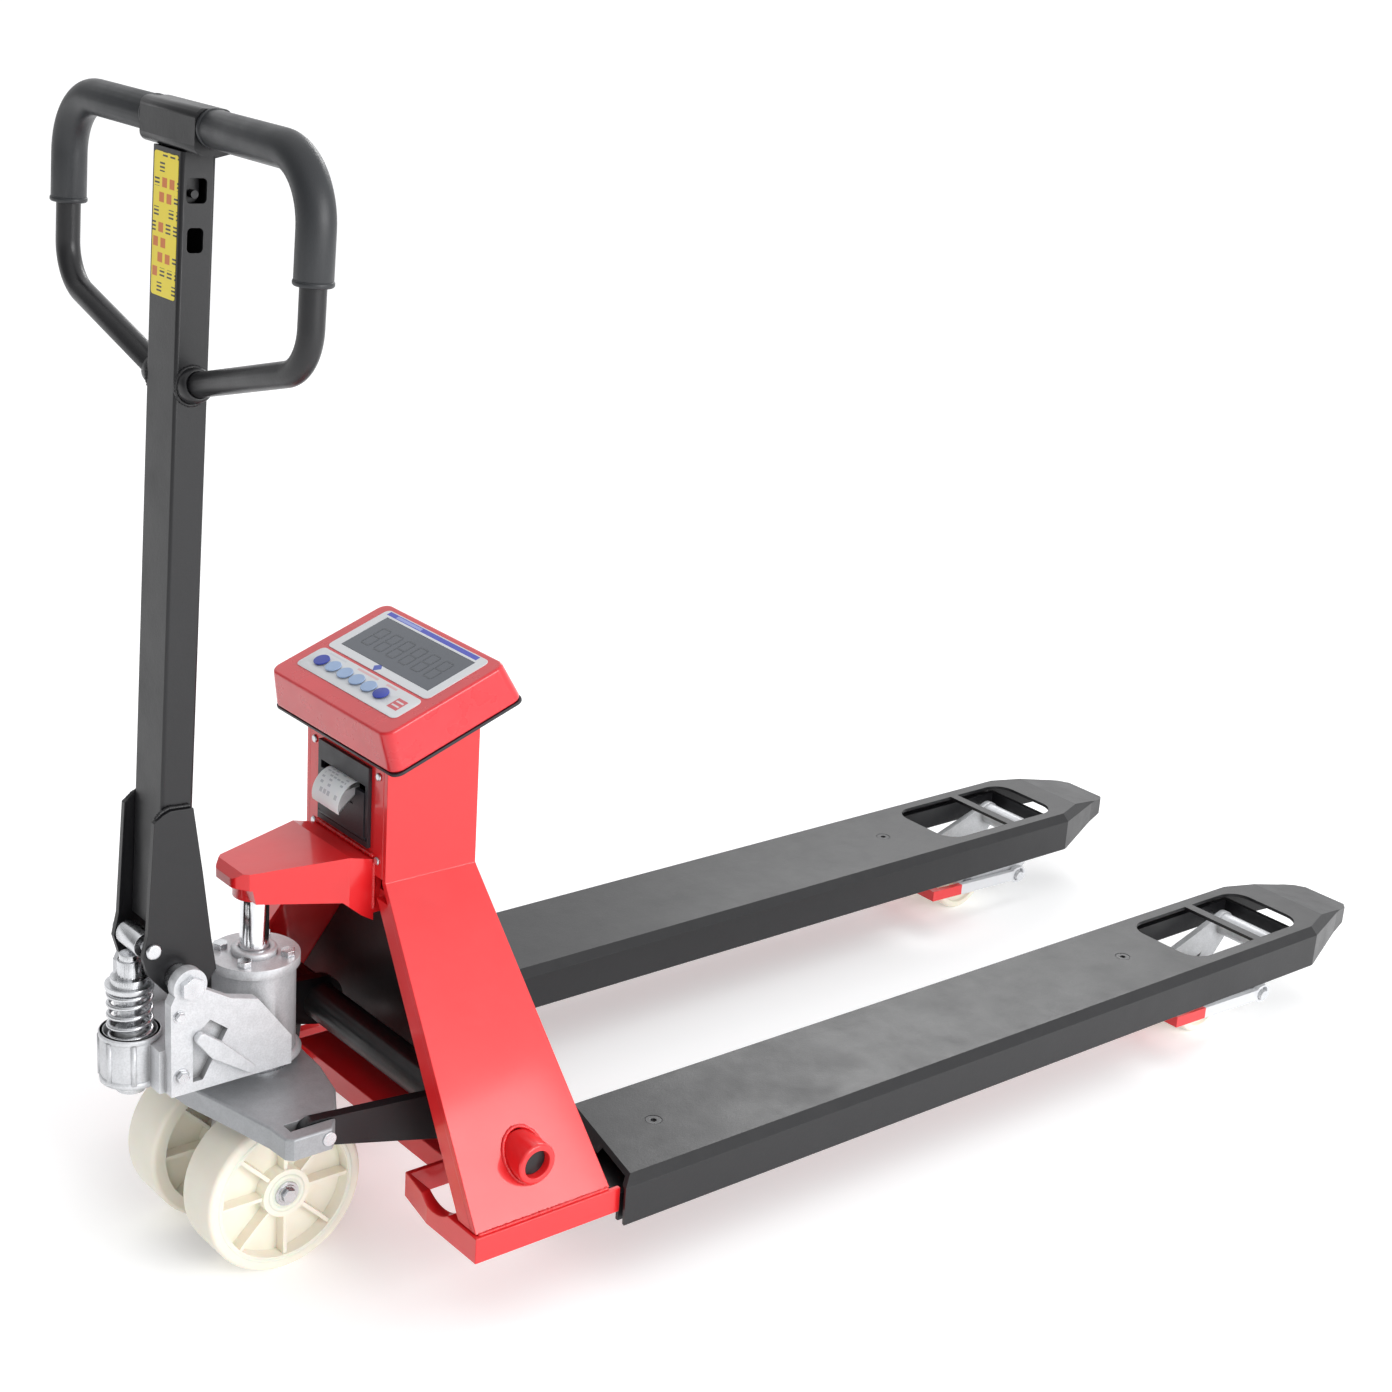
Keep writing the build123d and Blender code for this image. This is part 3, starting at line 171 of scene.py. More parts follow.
def bump(tree, shader, *layers):
    """Layers of (height, strength, distance in metres), one on another."""
    normal = None
    for height, strength, distance in layers:
        node = add(
            tree, "ShaderNodeBump", Height=height, Strength=strength, Distance=distance,
        )
        if normal is not None:
            tree.links.new(normal, node.inputs["Normal"])
        normal = node.outputs["Normal"]
    tree.links.new(normal, shader.inputs["Normal"])


def set_shader(shader, **values):
    for name, value in values.items():
        socket = shader.inputs[name.replace("_", " ")]
        if isinstance(value, bpy.types.NodeSocket):
            shader.id_data.links.new(value, socket)
        elif isinstance(value, tuple):
            socket.default_value = (*value, 1)
        else:
            socket.default_value = value


def facing_up(tree):
    """1 where the surface faces the sky, 0 elsewhere: dust settles there."""
    normal = add(tree, "ShaderNodeTexCoord").outputs["Normal"]
    split = add(tree, "ShaderNodeSeparateXYZ", Vector=normal)
    return math_node(tree, "MULTIPLY", split.outputs["Z"], 1.0, clamp=True)


# ---------------------------------------------------------------- materials


def paint(name, colour, edge_patch_colour, gloss, coat, texture, dust, wear=0.5, silver_from=None):
    """Coated steel with edge wear, fine texture and a little dust, silver beyond an x if one is given."""
    material, tree, shader = new_material(name)
    cloud = grain(tree, 9.0, 3.0)
    base = mix(tree, ramp(tree, cloud, (0.35, 0.0), (0.7, 1.0)), colour,
               tuple(c * 0.86 for c in colour))
    fine = grain(tree, 340.0, 6.0, 0.7)
    broken = grain(tree, 95.0, 5.0, 0.65)
    chips = math_node(tree, "MULTIPLY", edges(tree, 0.0016), ramp(tree, broken, (0.5, 0.0), (0.62, wear)))
    base = mix(tree, chips, base, edge_patch_colour)
    streak = grain(tree, 30.0, 6.0, 0.6, 0.6)
    settled = math_node(tree, "MULTIPLY", facing_up(tree), ramp(tree, streak, (0.4, 0.0), (0.8, dust)))
    base = mix(tree, settled, base, (0.22, 0.21, 0.20))
    rough = ramp(tree, grain(tree, 22.0, 5.0, 0.6), (0.3, gloss), (0.75, gloss + 0.12))
    rough = mix(tree, chips, rough, (0.55, 0.55, 0.55))
    if silver_from is not None:
        spot = add(tree, "ShaderNodeSeparateXYZ", Vector=place(tree))
        silver = math_node(tree, "GREATER_THAN", spot.outputs["X"], silver_from)
        base = mix(tree, silver, base, (0.66, 0.67, 0.69))
    set_shader(shader, Base_Color=base, Roughness=rough, Coat_Weight=coat, Coat_Roughness=0.08)
    bump(tree, shader,
         (grain(tree, 60.0, 2.0), 0.10, 0.0012),
         (fine, texture, 0.0004),
         (chips, 0.3, -0.0002))
    return material


def casting(name, colour, metallic, rough, pits):
    """Aluminium or grey paint on a sand casting: fine pits, soft lumps, painted shade in corners and a
    painted highlight along edges.
    """
    material, tree, shader = new_material(name)
    lumps = grain(tree, 85.0, 5.0, 0.6)
    sand = grain(tree, 520.0, 4.0, 0.7)
    base = mix(tree, ramp(tree, lumps, (0.35, 0.0), (0.7, 1.0)), tuple(c * 0.88 for c in colour), colour)
    base = mix(tree, ramp(tree, sand, (0.42, 0.22), (0.56, 0.0)), base, tuple(c * 0.5 for c in colour))
    # Painted shade: the colour is darkened where ambient occlusion finds corners and recesses.
    corner = add(tree, "ShaderNodeAmbientOcclusion", Distance=0.02, samples=8, only_local=True)
    painted_corner_shade = ramp(tree, corner.outputs["AO"], (0.35, 0.75), (0.85, 0.0))
    base = mix(tree, painted_corner_shade, base, (0.09, 0.085, 0.08))
    # Painted highlight: every edge is lightened towards pale grey.
    painted_edge_highlight = math_node(tree, "MULTIPLY", edges(tree, 0.0014), 0.35)
    base = mix(tree, painted_edge_highlight, base, (0.86, 0.87, 0.88))
    set_shader(shader, Base_Color=base, Metallic=metallic,
               Roughness=ramp(tree, sand, (0.3, rough), (0.7, rough + 0.14)))
    bump(tree, shader, (lumps, 0.18, 0.0012), (sand, pits, 0.0005))
    return material


def metal(name, colour, rough, scale=60.0, scratch=0.05):
    """Plated or bare steel, slightly uneven, with fine turning marks and painted shade in corners."""
    material, tree, shader = new_material(name)
    cloud = grain(tree, scale, 4.0)
    base = mix(tree, ramp(tree, cloud, (0.3, 0.0), (0.7, 1.0)), tuple(c * 0.82 for c in colour), colour)
    # Painted shade: the colour is darkened in corners and recesses found by ambient occlusion.
    corner = add(tree, "ShaderNodeAmbientOcclusion", Distance=0.008, samples=6, only_local=True)
    base = mix(tree, ramp(tree, corner.outputs["AO"], (0.3, 0.7), (0.8, 0.0)), base, (0.05, 0.045, 0.04))
    lines = add(tree, "ShaderNodeTexWave", wave_type="BANDS", bands_direction="Z",
                Vector=place(tree), Scale=420.0, Distortion=1.5).outputs["Fac"]
    set_shader(shader, Base_Color=base, Metallic=1.0,
               Roughness=ramp(tree, grain(tree, 130.0, 3.0), (0.3, rough), (0.75, rough + 0.16)))
    bump(tree, shader, (lines, scratch, 0.0001))
    return material


def plastic(name, colour, rough, texture, scale, coat=0.0, shade=0.85, soft=0.0, edge_patch_colour=None):
    """Moulded plastic: a fine eroded texture and slight unevenness in colour and gloss."""
    material, tree, shader = new_material(name)
    cloud = grain(tree, 14.0, 3.0)
    base = mix(tree, ramp(tree, cloud, (0.3, 0.0), (0.72, 1.0)), colour, tuple(c * shade for c in colour))
    # Edge patches in a second colour: darker real wear on the nylon wheels, and on the red console pinker
    # patches that are a painted highlight along its edges.
    if edge_patch_colour:
        broken = grain(tree, 70.0, 6.0, 0.7)
        wear_and_sheen_patches = math_node(tree, "MULTIPLY", edges(tree, 0.002), ramp(tree, broken, (0.4, 0.0), (0.65, 0.6)))
        base = mix(tree, wear_and_sheen_patches, base, edge_patch_colour)
    set_shader(shader, Base_Color=base, Coat_Weight=coat, Coat_Roughness=0.12,
               Subsurface_Weight=soft, Subsurface_Scale=0.01,
               Roughness=ramp(tree, grain(tree, 45.0, 4.0), (0.3, rough), (0.72, rough + 0.12)))
    bump(tree, shader,
         (grain(tree, 30.0, 2.0), 0.06, 0.001),
         (grain(tree, scale, 3.0, 0.6), texture, 0.0003))
    return material


def masks(tree, centre, tilt):
    """Two functions that make box and diamond masks on a plane tilted about Y through centre."""
    shifted = add(tree, "ShaderNodeMapping", Vector=place(tree), Location=tuple(-c for c in centre))
    turned = add(tree, "ShaderNodeMapping", Vector=shifted.outputs["Vector"], Rotation=(0, tilt, 0))
    split = add(tree, "ShaderNodeSeparateXYZ", Vector=turned.outputs["Vector"])
    along, across = split.outputs["X"], split.outputs["Y"]

    def away(value, middle):
        return math_node(tree, "ABSOLUTE", math_node(tree, "SUBTRACT", value, middle))

    def box(along_mid, across_mid, along_half, across_half):
        return math_node(tree, "MULTIPLY",
                         math_node(tree, "LESS_THAN", away(along, along_mid), along_half),
                         math_node(tree, "LESS_THAN", away(across, across_mid), across_half))

    def diamond(along_mid, across_mid, half):
        total = math_node(tree, "ADD", away(along, along_mid), away(across, across_mid))
        return math_node(tree, "LESS_THAN", total, half)

    return box, diamond


def printed_film(name, prints):
    """White printed film; prints is a list of (shape, colour, numbers)."""
    material, tree, shader = new_material(name)
    box, diamond = masks(tree, CONSOLE_ORIGIN, CONSOLE_TILT)
    base = mix(tree, grain(tree, 30.0), (0.66, 0.68, 0.70), (0.72, 0.73, 0.75))
    for shape, colour, numbers in prints:
        mask = box(*numbers) if shape == "box" else diamond(*numbers)
        base = mix(tree, mask, base, colour)
    set_shader(shader, Base_Color=base, Coat_Weight=0.2, Coat_Roughness=0.2,
               Roughness=ramp(tree, grain(tree, 60.0), (0.3, 0.34), (0.7, 0.46)))
    bump(tree, shader, (grain(tree, 1800.0, 3.0), 0.12, 0.0003))
    return material


def label_sheet(name):
    """Yellow label: rows of plain dark and red blocks, with no lettering."""
    material, tree, shader = new_material(name)
    spot = add(tree, "ShaderNodeSeparateXYZ", Vector=place(tree))
    plane = add(tree, "ShaderNodeCombineXYZ", X=spot.outputs["Y"], Y=spot.outputs["Z"]).outputs["Vector"]
    base = mix(tree, grain(tree, 40.0), (0.78, 0.62, 0.02), (0.86, 0.70, 0.04))
    rows = add(tree, "ShaderNodeTexBrick", Vector=plane, Scale=1.0, Mortar_Size=0.0022, Mortar_Smooth=0.0,
               Brick_Width=0.013, Row_Height=0.0125, offset=0.35, Color1=(0, 0, 0, 1), Color2=(1, 1, 1, 1),
               Mortar=(0.5, 0.5, 0.5, 1))
    solid = math_node(tree, "SUBTRACT", 1.0, rows.outputs["Fac"])
    dark = math_node(tree, "LESS_THAN", rows.outputs["Color"], 0.42)
    lines = add(tree, "ShaderNodeTexWave", wave_type="BANDS", bands_direction="Y", Vector=plane,
                Scale=95.0, Distortion=0.0).outputs["Fac"]
    strokes = math_node(tree, "GREATER_THAN", lines, 0.55)
    base = mix(tree, math_node(tree, "MULTIPLY", math_node(tree, "MULTIPLY", solid, dark), strokes),
               base, (0.03, 0.025, 0.02))
    spots = math_node(tree, "GREATER_THAN", rows.outputs["Color"], 0.8)
    base = mix(tree, math_node(tree, "MULTIPLY", math_node(tree, "MULTIPLY", solid, spots), 0.85),
               base, (0.55, 0.07, 0.02))
    set_shader(shader, Base_Color=base, Roughness=ramp(tree, grain(tree, 80.0), (0.3, 0.30), (0.7, 0.42)))
    bump(tree, shader, (grain(tree, 25.0), 0.15, 0.0006))
    return material


def receipt_paper(name):
    """Thermal paper with rows of pale grey marks."""
    material, tree, shader = new_material(name)
    spot = add(tree, "ShaderNodeSeparateXYZ", Vector=place(tree))
    plane = add(tree, "ShaderNodeCombineXYZ", X=spot.outputs["Y"], Y=spot.outputs["X"]).outputs["Vector"]
    rows = add(tree, "ShaderNodeTexBrick", Vector=plane, Scale=1.0, Mortar_Size=0.0009, Mortar_Smooth=0.0,
               Brick_Width=0.0065, Row_Height=0.0034, offset=0.4, Color1=(0, 0, 0, 1), Color2=(1, 1, 1, 1),
               Mortar=(1, 1, 1, 1))
    ink = math_node(tree, "LESS_THAN", rows.outputs["Color"], 0.55)
    inside = math_node(tree, "LESS_THAN", math_node(tree, "ABSOLUTE", spot.outputs["Y"]), 0.0185)
    strength = math_node(tree, "MULTIPLY", math_node(tree, "MULTIPLY", ink, inside), 0.55)
    base = mix(tree, strength, mix(tree, grain(tree, 20.0), (0.80, 0.80, 0.82), (0.86, 0.86, 0.87)),
               (0.30, 0.31, 0.36))
    set_shader(shader, Base_Color=base, Roughness=0.6, Subsurface_Weight=0.15, Subsurface_Scale=0.003)
    bump(tree, shader, (grain(tree, 2400.0), 0.2, 0.0002), (grain(tree, 40.0), 0.2, 0.0008))
    return material


def two_tone_screws(name):
    """Zinc heads on the column, black heads on the fork covers."""
    material, tree, shader = new_material(name)
    spot = add(tree, "ShaderNodeSeparateXYZ", Vector=place(tree))
    black = math_node(tree, "GREATER_THAN", spot.outputs["X"], HEEL_X)
    base = mix(tree, grain(tree, 90.0), (0.56, 0.57, 0.59), (0.70, 0.71, 0.73))
    base = mix(tree, black, base, (0.022, 0.022, 0.024))
    set_shader(shader, Base_Color=base, Metallic=math_node(tree, "SUBTRACT", 1.0, black),
               Roughness=ramp(tree, grain(tree, 200.0), (0.3, 0.24), (0.7, 0.38)))
    bump(tree, shader, (grain(tree, 900.0), 0.1, 0.0002))
    return material


RED = (0.78, 0.010, 0.014)
RED_WORN = (0.30, 0.04, 0.03)
BLUE = (0.05, 0.07, 0.50)

# Marks on the console film: shape, colour, then middle along and across it and half sizes, in metres
PRINTS = [
    ("box", BLUE, (0.1355, 0.004, 0.0028, 0.078)),
    ("box", (0.30, 0.36, 0.72), (0.1355, 0.045, 0.0018, 0.022)),
    ("diamond", (0.06, 0.10, 0.45), (0.0700, 0.004, 0.0062)),
    ("box", (0.62, 0.10, 0.12), (0.0435, -0.0705, 0.0075, 0.0080)),
    ("box", (0.74, 0.70, 0.71), (0.0465, -0.0705, 0.0010, 0.0058)),
    ("box", (0.74, 0.70, 0.71), (0.0410, -0.0705, 0.0010, 0.0058)),
    ("box", (0.70, 0.45, 0.46), (0.0575, 0.0020, 0.0013, 0.0180)),
    ("box", (0.70, 0.45, 0.46), (0.0575, -0.0400, 0.0013, 0.0090)),
    ("box", (0.60, 0.62, 0.66), (0.0575, 0.0560, 0.0011, 0.0150)),
]
LOOKS = {
    "red_paint": paint("RedPaint", RED, RED_WORN, 0.28, 0.55, 0.05, 0.03, 0.45),
    "rod_paint": paint("RodPaint", RED, RED_WORN, 0.28, 0.55, 0.05, 0.03, 0.45, ROD_SILVER_X),
    "black_paint": paint(
        "BlackPaint", (0.0085, 0.0085, 0.0100), (0.10, 0.10, 0.10), 0.30, 0.0, 0.32, 0.035, 0.35,
    ),
    "cast_silver": casting("SilverCasting", (0.72, 0.73, 0.75), 0.35, 0.34, 0.30),
    "grey_casting": casting("GreyCasting", (0.40, 0.41, 0.425), 0.40, 0.38, 0.28),
    "zinc": metal("Zinc", (0.74, 0.75, 0.77), 0.20),
    "chrome": metal("Chrome", (0.84, 0.85, 0.87), 0.06, 20.0, 0.01),
    "nylon": plastic(
        "Nylon", (0.90, 0.86, 0.74), 0.32, 0.10, 700.0, shade=0.93, soft=0.25, edge_patch_colour=(0.55, 0.50, 0.40),
    ),
    "grip": plastic("Grip", (0.022, 0.024, 0.027), 0.34, 0.45, 1100.0),
    "black_plastic": plastic("BlackPlastic", (0.016, 0.016, 0.021), 0.38, 0.35, 1500.0),
    # The console's pinker edge patches are a painted highlight.
    "red_plastic": plastic(
        "RedPlastic", (0.70, 0.016, 0.026), 0.24, 0.10, 900.0, coat=0.5, edge_patch_colour=(0.60, 0.10, 0.10),
    ),
    "overlay": printed_film("Overlay", PRINTS),
    "lcd": plastic("Lcd", (0.050, 0.062, 0.085), 0.16, 0.02, 900.0, coat=0.5, shade=0.85),
    "lcd_dark": plastic("LcdDark", (0.036, 0.045, 0.062), 0.20, 0.02, 900.0, coat=0.4, shade=0.85),
    "key_blue": plastic("KeyBlue", (0.035, 0.060, 0.40), 0.36, 0.20, 1800.0),
    "key_light": plastic("KeyLight", (0.34, 0.47, 0.70), 0.36, 0.20, 1800.0),
    "board": plastic("Board", (0.010, 0.16, 0.055), 0.40, 0.10, 600.0),
    "paper": plastic("Paper", (0.80, 0.80, 0.81), 0.62, 0.25, 2400.0, shade=0.96),
    "receipt": receipt_paper("Receipt"),
    "label": label_sheet("Label"),
    "screws": two_tone_screws("Screws"),
}

SLOT_OF = {
    "red_paint": "left_side_plate right_side_plate left_foot right_foot "
                 "foot_crossmember column_front pivot_bosses head_bracket",
    "rod_paint": "push_rods",
    "black_paint": "left_fork_cover right_fork_cover handle_bracket handle_post handle_loop rocker "
                   "control_lever rocker_shaft rear_panel left_inner_fork right_inner_fork",
    "cast_silver": "pump_body release_lever yokes",
    "grey_casting": "base_plate",
    "zinc": "cap_bolts thrust_bearing link_pins wheel_axle rocker_pins yoke_pins roller_axles load_cells "
            "tiller_shaft press_roller pump_plunger pump_spring",
    "chrome": "piston_rod",
    "nylon": "left_steer_wheel right_steer_wheel left_load_roller right_load_roller",
    "grip": "hand_grips",
    "black_plastic": "printer_frame printer_door platen_roller console_tray battery",
    "red_plastic": "console_housing",
    "overlay": "overlay_sheets",
    "lcd": "lcd_window",
    "key_blue": "key_1 key_6",
    "key_light": "key_2 key_3 key_4 key_5",
    "board": "circuit_board",
    "paper": "paper_roll",
    "receipt": "receipt",
    "screws": "screws",
}

# How far each look's edges are rounded, in metres
EDGE = {"red_paint": 0.0012, "rod_paint": 0.0012, "black_paint": 0.0010, "cast_silver": 0.0016,
        "grey_casting": 0.0018, "nylon": 0.0012, "red_plastic": 0.0012}


def finish_node(node, look, edge):
    """Gives a CAD node its material, and rounds its edges with modifiers."""
    node.data.materials.clear()
    node.data.materials.append(LOOKS[look])
    weld = node.modifiers.new("Weld", "WELD")
    weld.merge_threshold = 0.00002
    flat = node.modifiers.new("Flat", "DECIMATE")
    flat.decimate_type = "DISSOLVE"
    flat.angle_limit = math.radians(0.6)
    rounded = node.modifiers.new("Edge", "BEVEL")
    rounded.width = edge
    rounded.segments = 2
    rounded.limit_method = "ANGLE"
    rounded.angle_limit = math.radians(32)
    rounded.harden_normals = True
    rounded.miter_outer = "MITER_ARC"


for look, names in SLOT_OF.items():
    for name in names.split():
        finish_node(NODES[name], look, EDGE.get(look, 0.0005))


# ---------------------------------------------------------------- pieces that the CAD leaves out


def new_piece(name, bm, look, body, smooth=True):
    """A finished mesh object that rides a body, with its material."""
    mesh = bpy.data.meshes.new(name)
    bmesh.ops.recalc_face_normals(bm, faces=bm.faces)
    for face in bm.faces:
        face.smooth = smooth
    bm.to_mesh(mesh)
    bm.free()
    mesh.materials.append(LOOKS[look])
    piece = bpy.data.objects.new(name, mesh)
    bpy.context.scene.collection.objects.link(piece)
    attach(piece, body)
    return piece


def rings_to_bm(bm, rings, closed=False, caps=True):
    """Skins a list of point rings into a tube."""
    made = [[bm.verts.new(point) for point in ring] for ring in rings]
    pairs = list(zip(made, made[1:]))
    if closed:
        pairs.append((made[-1], made[0]))
    for first, second in pairs:
        for index in range(len(first)):
            after = (index + 1) % len(first)
            bm.faces.new((first[index], first[after], second[after], second[index]))
    if caps and not closed:
        bm.faces.new(list(reversed(made[0])))
        bm.faces.new(made[-1])


def sweep_rings(points, radius, sides=12, closed=False):
    """Rings round a path. The radius is a number or a function of the point's index."""
    count = len(points)
    rings = []
    side = None
    for index, point in enumerate(points):
        before = points[index - 1] if index or closed else point
        after = points[(index + 1) % count] if index + 1 < count or closed else point
        ahead = (after - before).normalized()
        if side is None:
            side = ahead.orthogonal().normalized()
        side = (side - ahead * side.dot(ahead)).normalized()
        other = ahead.cross(side)
        size = radius(index) if callable(radius) else radius
        turns = [2 * math.pi * k / sides for k in range(sides)]
        rings.append([
            point + side * size * math.cos(turn) + other * size * math.sin(turn) for turn in turns
        ])
    return rings


def lathe(bm, profile, centre, axis, sides=40):
    """Turns (distance along the axis, radius) points round an axis. The profile is a closed loop."""
    axis = Vector(axis).normalized()
    side = axis.orthogonal().normalized()
    other = axis.cross(side)
    rings = []
    for k in range(sides):
        turn = side * math.cos(2 * math.pi * k / sides) + other * math.sin(2 * math.pi * k / sides)
        rings.append([centre + axis * t + turn * r for t, r in profile])
    rings_to_bm(bm, rings, closed=True)


def weld_bead(bm, points, radius, pitch=0.0024):
    """A bead of overlapping ripples along straight runs between points."""
    path = []
    for start, end in zip(points, points[1:]):
        steps = max(2, int((end - start).length / (pitch / 3)))
        path += [start.lerp(end, k / steps) for k in range(steps)]
    path.append(points[-1])
    phase = [random.uniform(0.85, 1.15) for _ in path]
    size = [radius * (1 + 0.16 * math.cos(2 * math.pi * k / 3)) * phase[k // 3] for k in range(len(path))]
    size[0] = size[-1] = radius * 0.4
    rings_to_bm(bm, sweep_rings(path, lambda k: size[k], 8))


def leaned(x, y, z):
    """A point drawn upright over the tiller pivot, turned to the rest angle."""
    pivot = heel(TILLER[0], 0, TILLER[1])
    return Matrix.Translation(pivot) @ Matrix.Rotation(TILLER_LEAN, 4, "Y") @ (heel(x, y, z) - pivot)


def post_label():
    """Yellow sheet stuck to the front of the post, with round corners."""
    bm = bmesh.new()
    half_y, low, high, corner, thick = 21.0, 936.0, 1056.0, 3.0, 0.35
    outline = []
    for cy, cz, first in ((half_y, high, 0), (-half_y, high, 90), (-half_y, low, 180), (half_y, low, 270)):
        for step in range(5):
            turn = math.radians(first + step * 22.5)
            y = cy - math.copysign(corner, cy) + corner * math.cos(turn)
            z = cz - (corner if cz == high else -corner) + corner * math.sin(turn)
            outline.append((y, z))
    face = POST_X - POST_HALF_X
    back = [bm.verts.new(leaned(face - 0.02, y, z)) for y, z in outline]
    front = [bm.verts.new(leaned(face - thick, y, z)) for y, z in outline]
    bm.faces.new(front)
    bm.faces.new(list(reversed(back)))
    for k in range(len(outline)):
        after = (k + 1) % len(outline)
        bm.faces.new((back[k], back[after], front[after], front[k]))
    new_piece("post_label", bm, "label", "tiller", smooth=False)


def grip_rims():
    """Rolled lips at both ends of each hand grip."""
    bm = bmesh.new()
    lip = [(0.0, 0.0112), (-0.0005, 0.0158), (0.0006, 0.0168),
           (0.0030, 0.0168), (0.0042, 0.0161), (0.0042, 0.0112)]
    for side in (-1, 1):
        low = leaned(POST_X, side * HANDLE_HALF, GRIP_END - 1)
        lathe(bm, lip, low, leaned(POST_X, 0, GRIP_END + 100) - leaned(POST_X, 0, GRIP_END))
        inner = leaned(POST_X, side * (HEAD_HALF + 0.3), HANDLE_TOP)
        lathe(bm, lip, inner, (0, side, 0))
    new_piece("grip_rims", bm, "grip", "tiller")


def loop_collars():
    """Welded sleeves where the loop's lower ends meet the post."""
    bm = bmesh.new()
    slope = math.atan2(LOWER_BEND - HANDLE_LOW, HANDLE_HALF - LOOP_START)
    sleeve = [(0, 0.0112), (0, 0.0150), (0.0015, 0.0158),
              (0.0110, 0.0150), (0.0135, 0.0132), (0.0140, 0.0112)]
    for side in (-1, 1):
        rise = math.tan(slope) * (POST_HALF_Y - LOOP_START)
        base = leaned(POST_X, side * (POST_HALF_Y + 0.2), HANDLE_LOW + rise)
        lathe(bm, sleeve, base, (0, side * math.cos(slope), math.sin(slope)), 28)
        around = []
        for k in range(29):
            turn = 2 * math.pi * k / 28
            around.append(leaned(POST_X + 15.6 * math.cos(turn), side * (POST_HALF_Y + 0.6),
                                 HANDLE_LOW + rise + 16.4 * math.sin(turn)))
        weld_bead(bm, around, 0.0019)
    new_piece("loop_collars", bm, "black_paint", "tiller")


def bracket_welds():
    """Beads along the tops and fronts of the bracket's cheeks."""
    bm = bmesh.new()
    top = [(-361.0, 473.0), (-354.8, 478.5), (-347.0, 481.5), (-326.0, 480.0)]
    for side in (-1, 1):
        points = [heel(x, side * 27.6, z) for x, z in top]
        weld_bead(bm, points, 0.0018)
    new_piece("bracket_welds", bm, "black_paint", "tiller")


def frame_welds():
    """Beads where the side plates stand on the feet and where the arm meets the column."""
    bm = bmesh.new()
    front = COLUMN_FRONT - 0.4
    splay = (LEG_BOTTOM_Y - COLUMN_HALF) / (COLUMN_KINK - LEG_BOTTOM_Z)
    for side in (-1, 1):
        foot_y, foot_z = side * (LEG_BOTTOM_Y + 0.8), LEG_BOTTOM_Z - 0.4
        weld_bead(bm, [heel(-163, foot_y, foot_z), heel(-12, foot_y, foot_z)], 0.0019)
        boss = []
        for k in range(33):
            turn = 2 * math.pi * k / 32
            x, z = PIVOT_X + 22.2 * math.cos(turn), PIVOT_Z + 22.2 * math.sin(turn)
            plate_y = LEG_BOTTOM_Y - (z - LEG_BOTTOM_Z) * splay
            boss.append(heel(x, side * (plate_y + 0.4), z))
        weld_bead(bm, boss, 0.0020)
        weld_bead(bm, [heel(front, side * BRACKET_HALF, z) for z in (344, 394)], 0.0022)
    weld_bead(bm, [heel(front, y, 398.6) for y in (1 - BRACKET_HALF, BRACKET_HALF - 1)], 0.0024)
    new_piece("frame_welds", bm, "red_paint", "chassis")


def pump_spring():
    """Return spring with closed ends, in place of the plain CAD helix."""
    bm = bmesh.new()
    low, high = SPRING_LOW + SPRING_WIRE, SPRING_HIGH - SPRING_WIRE
    axis = heel(PLUNGER_X, 0, 0)
    turns, steps = 8.0, 8 * 26
    end_turn, end_rise = 0.75, 0.0046
    points = []
    for k in range(steps + 1):
        done = turns * k / steps
        rise = min(max((done - end_turn) / (turns - 2 * end_turn), 0.0), 1.0)
        spin = 2 * math.pi * done
        bottom = end_rise * min(done, end_turn) / end_turn
        top = end_rise * max(0.0, (done - (turns - end_turn)) / end_turn)
        z = low + (high - low - 2 * end_rise) * rise + bottom + top
        points.append(Vector((axis.x + SPRING_R * math.cos(spin), SPRING_R * math.sin(spin), z)))
    rings_to_bm(bm, sweep_rings(points, SPRING_WIRE, 10))
    piece = new_piece("return_spring", bm, "zinc", "steering")
    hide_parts("pump_spring")
    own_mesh(piece)


def hexagon_bolt(bm, centre, axis, radius, height, washer=0.0):
    """A chamfered hexagon head, on a washer if one is asked for."""
    axis = Vector(axis).normalized()
    side = axis.orthogonal().normalized()
    other = axis.cross(side)
    rings = []
    for t, scale in ((0.0, 1.0), (height * 0.82, 1.0), (height, 0.88)):
        rings.append([
            centre + axis * (washer + t) + (side * math.cos(a) + other * math.sin(a)) * radius * scale
            for a in (math.pi / 3 * k for k in range(6))
        ])
    rings_to_bm(bm, rings)
    if washer:
        flat = [(0.0, radius * 0.4), (0.0, radius * 1.3), (washer, radius * 1.25), (washer, radius * 0.4)]
        lathe(bm, flat, centre, axis, 28)


def pump_fittings():
    """Bolts, valve plug and nuts on the pump casting."""
    bm = bmesh.new()
    for side in (-1, 1):
        hexagon_bolt(bm, heel(-352, side * 58, 226), (0, side, 0), 0.0062, 0.005, 0.0012)
        hexagon_bolt(bm, heel(-354, side * 58, 288), (0, side, 0), 0.0048, 0.004, 0.0010)
        hexagon_bolt(bm, heel(AXLE_X, side * 86, WHEEL_RADIUS), (0, side, 0), 0.0075, 0.004, 0.0012)
    hexagon_bolt(bm, heel(-384, -18, 208), (0, 0, -1), 0.0055, 0.005, 0.001)
    hexagon_bolt(bm, heel(-362, 18, 208), (0, 0, -1), 0.0055, 0.005, 0.001)
    new_piece("pump_fittings", bm, "zinc", "steering", smooth=False)


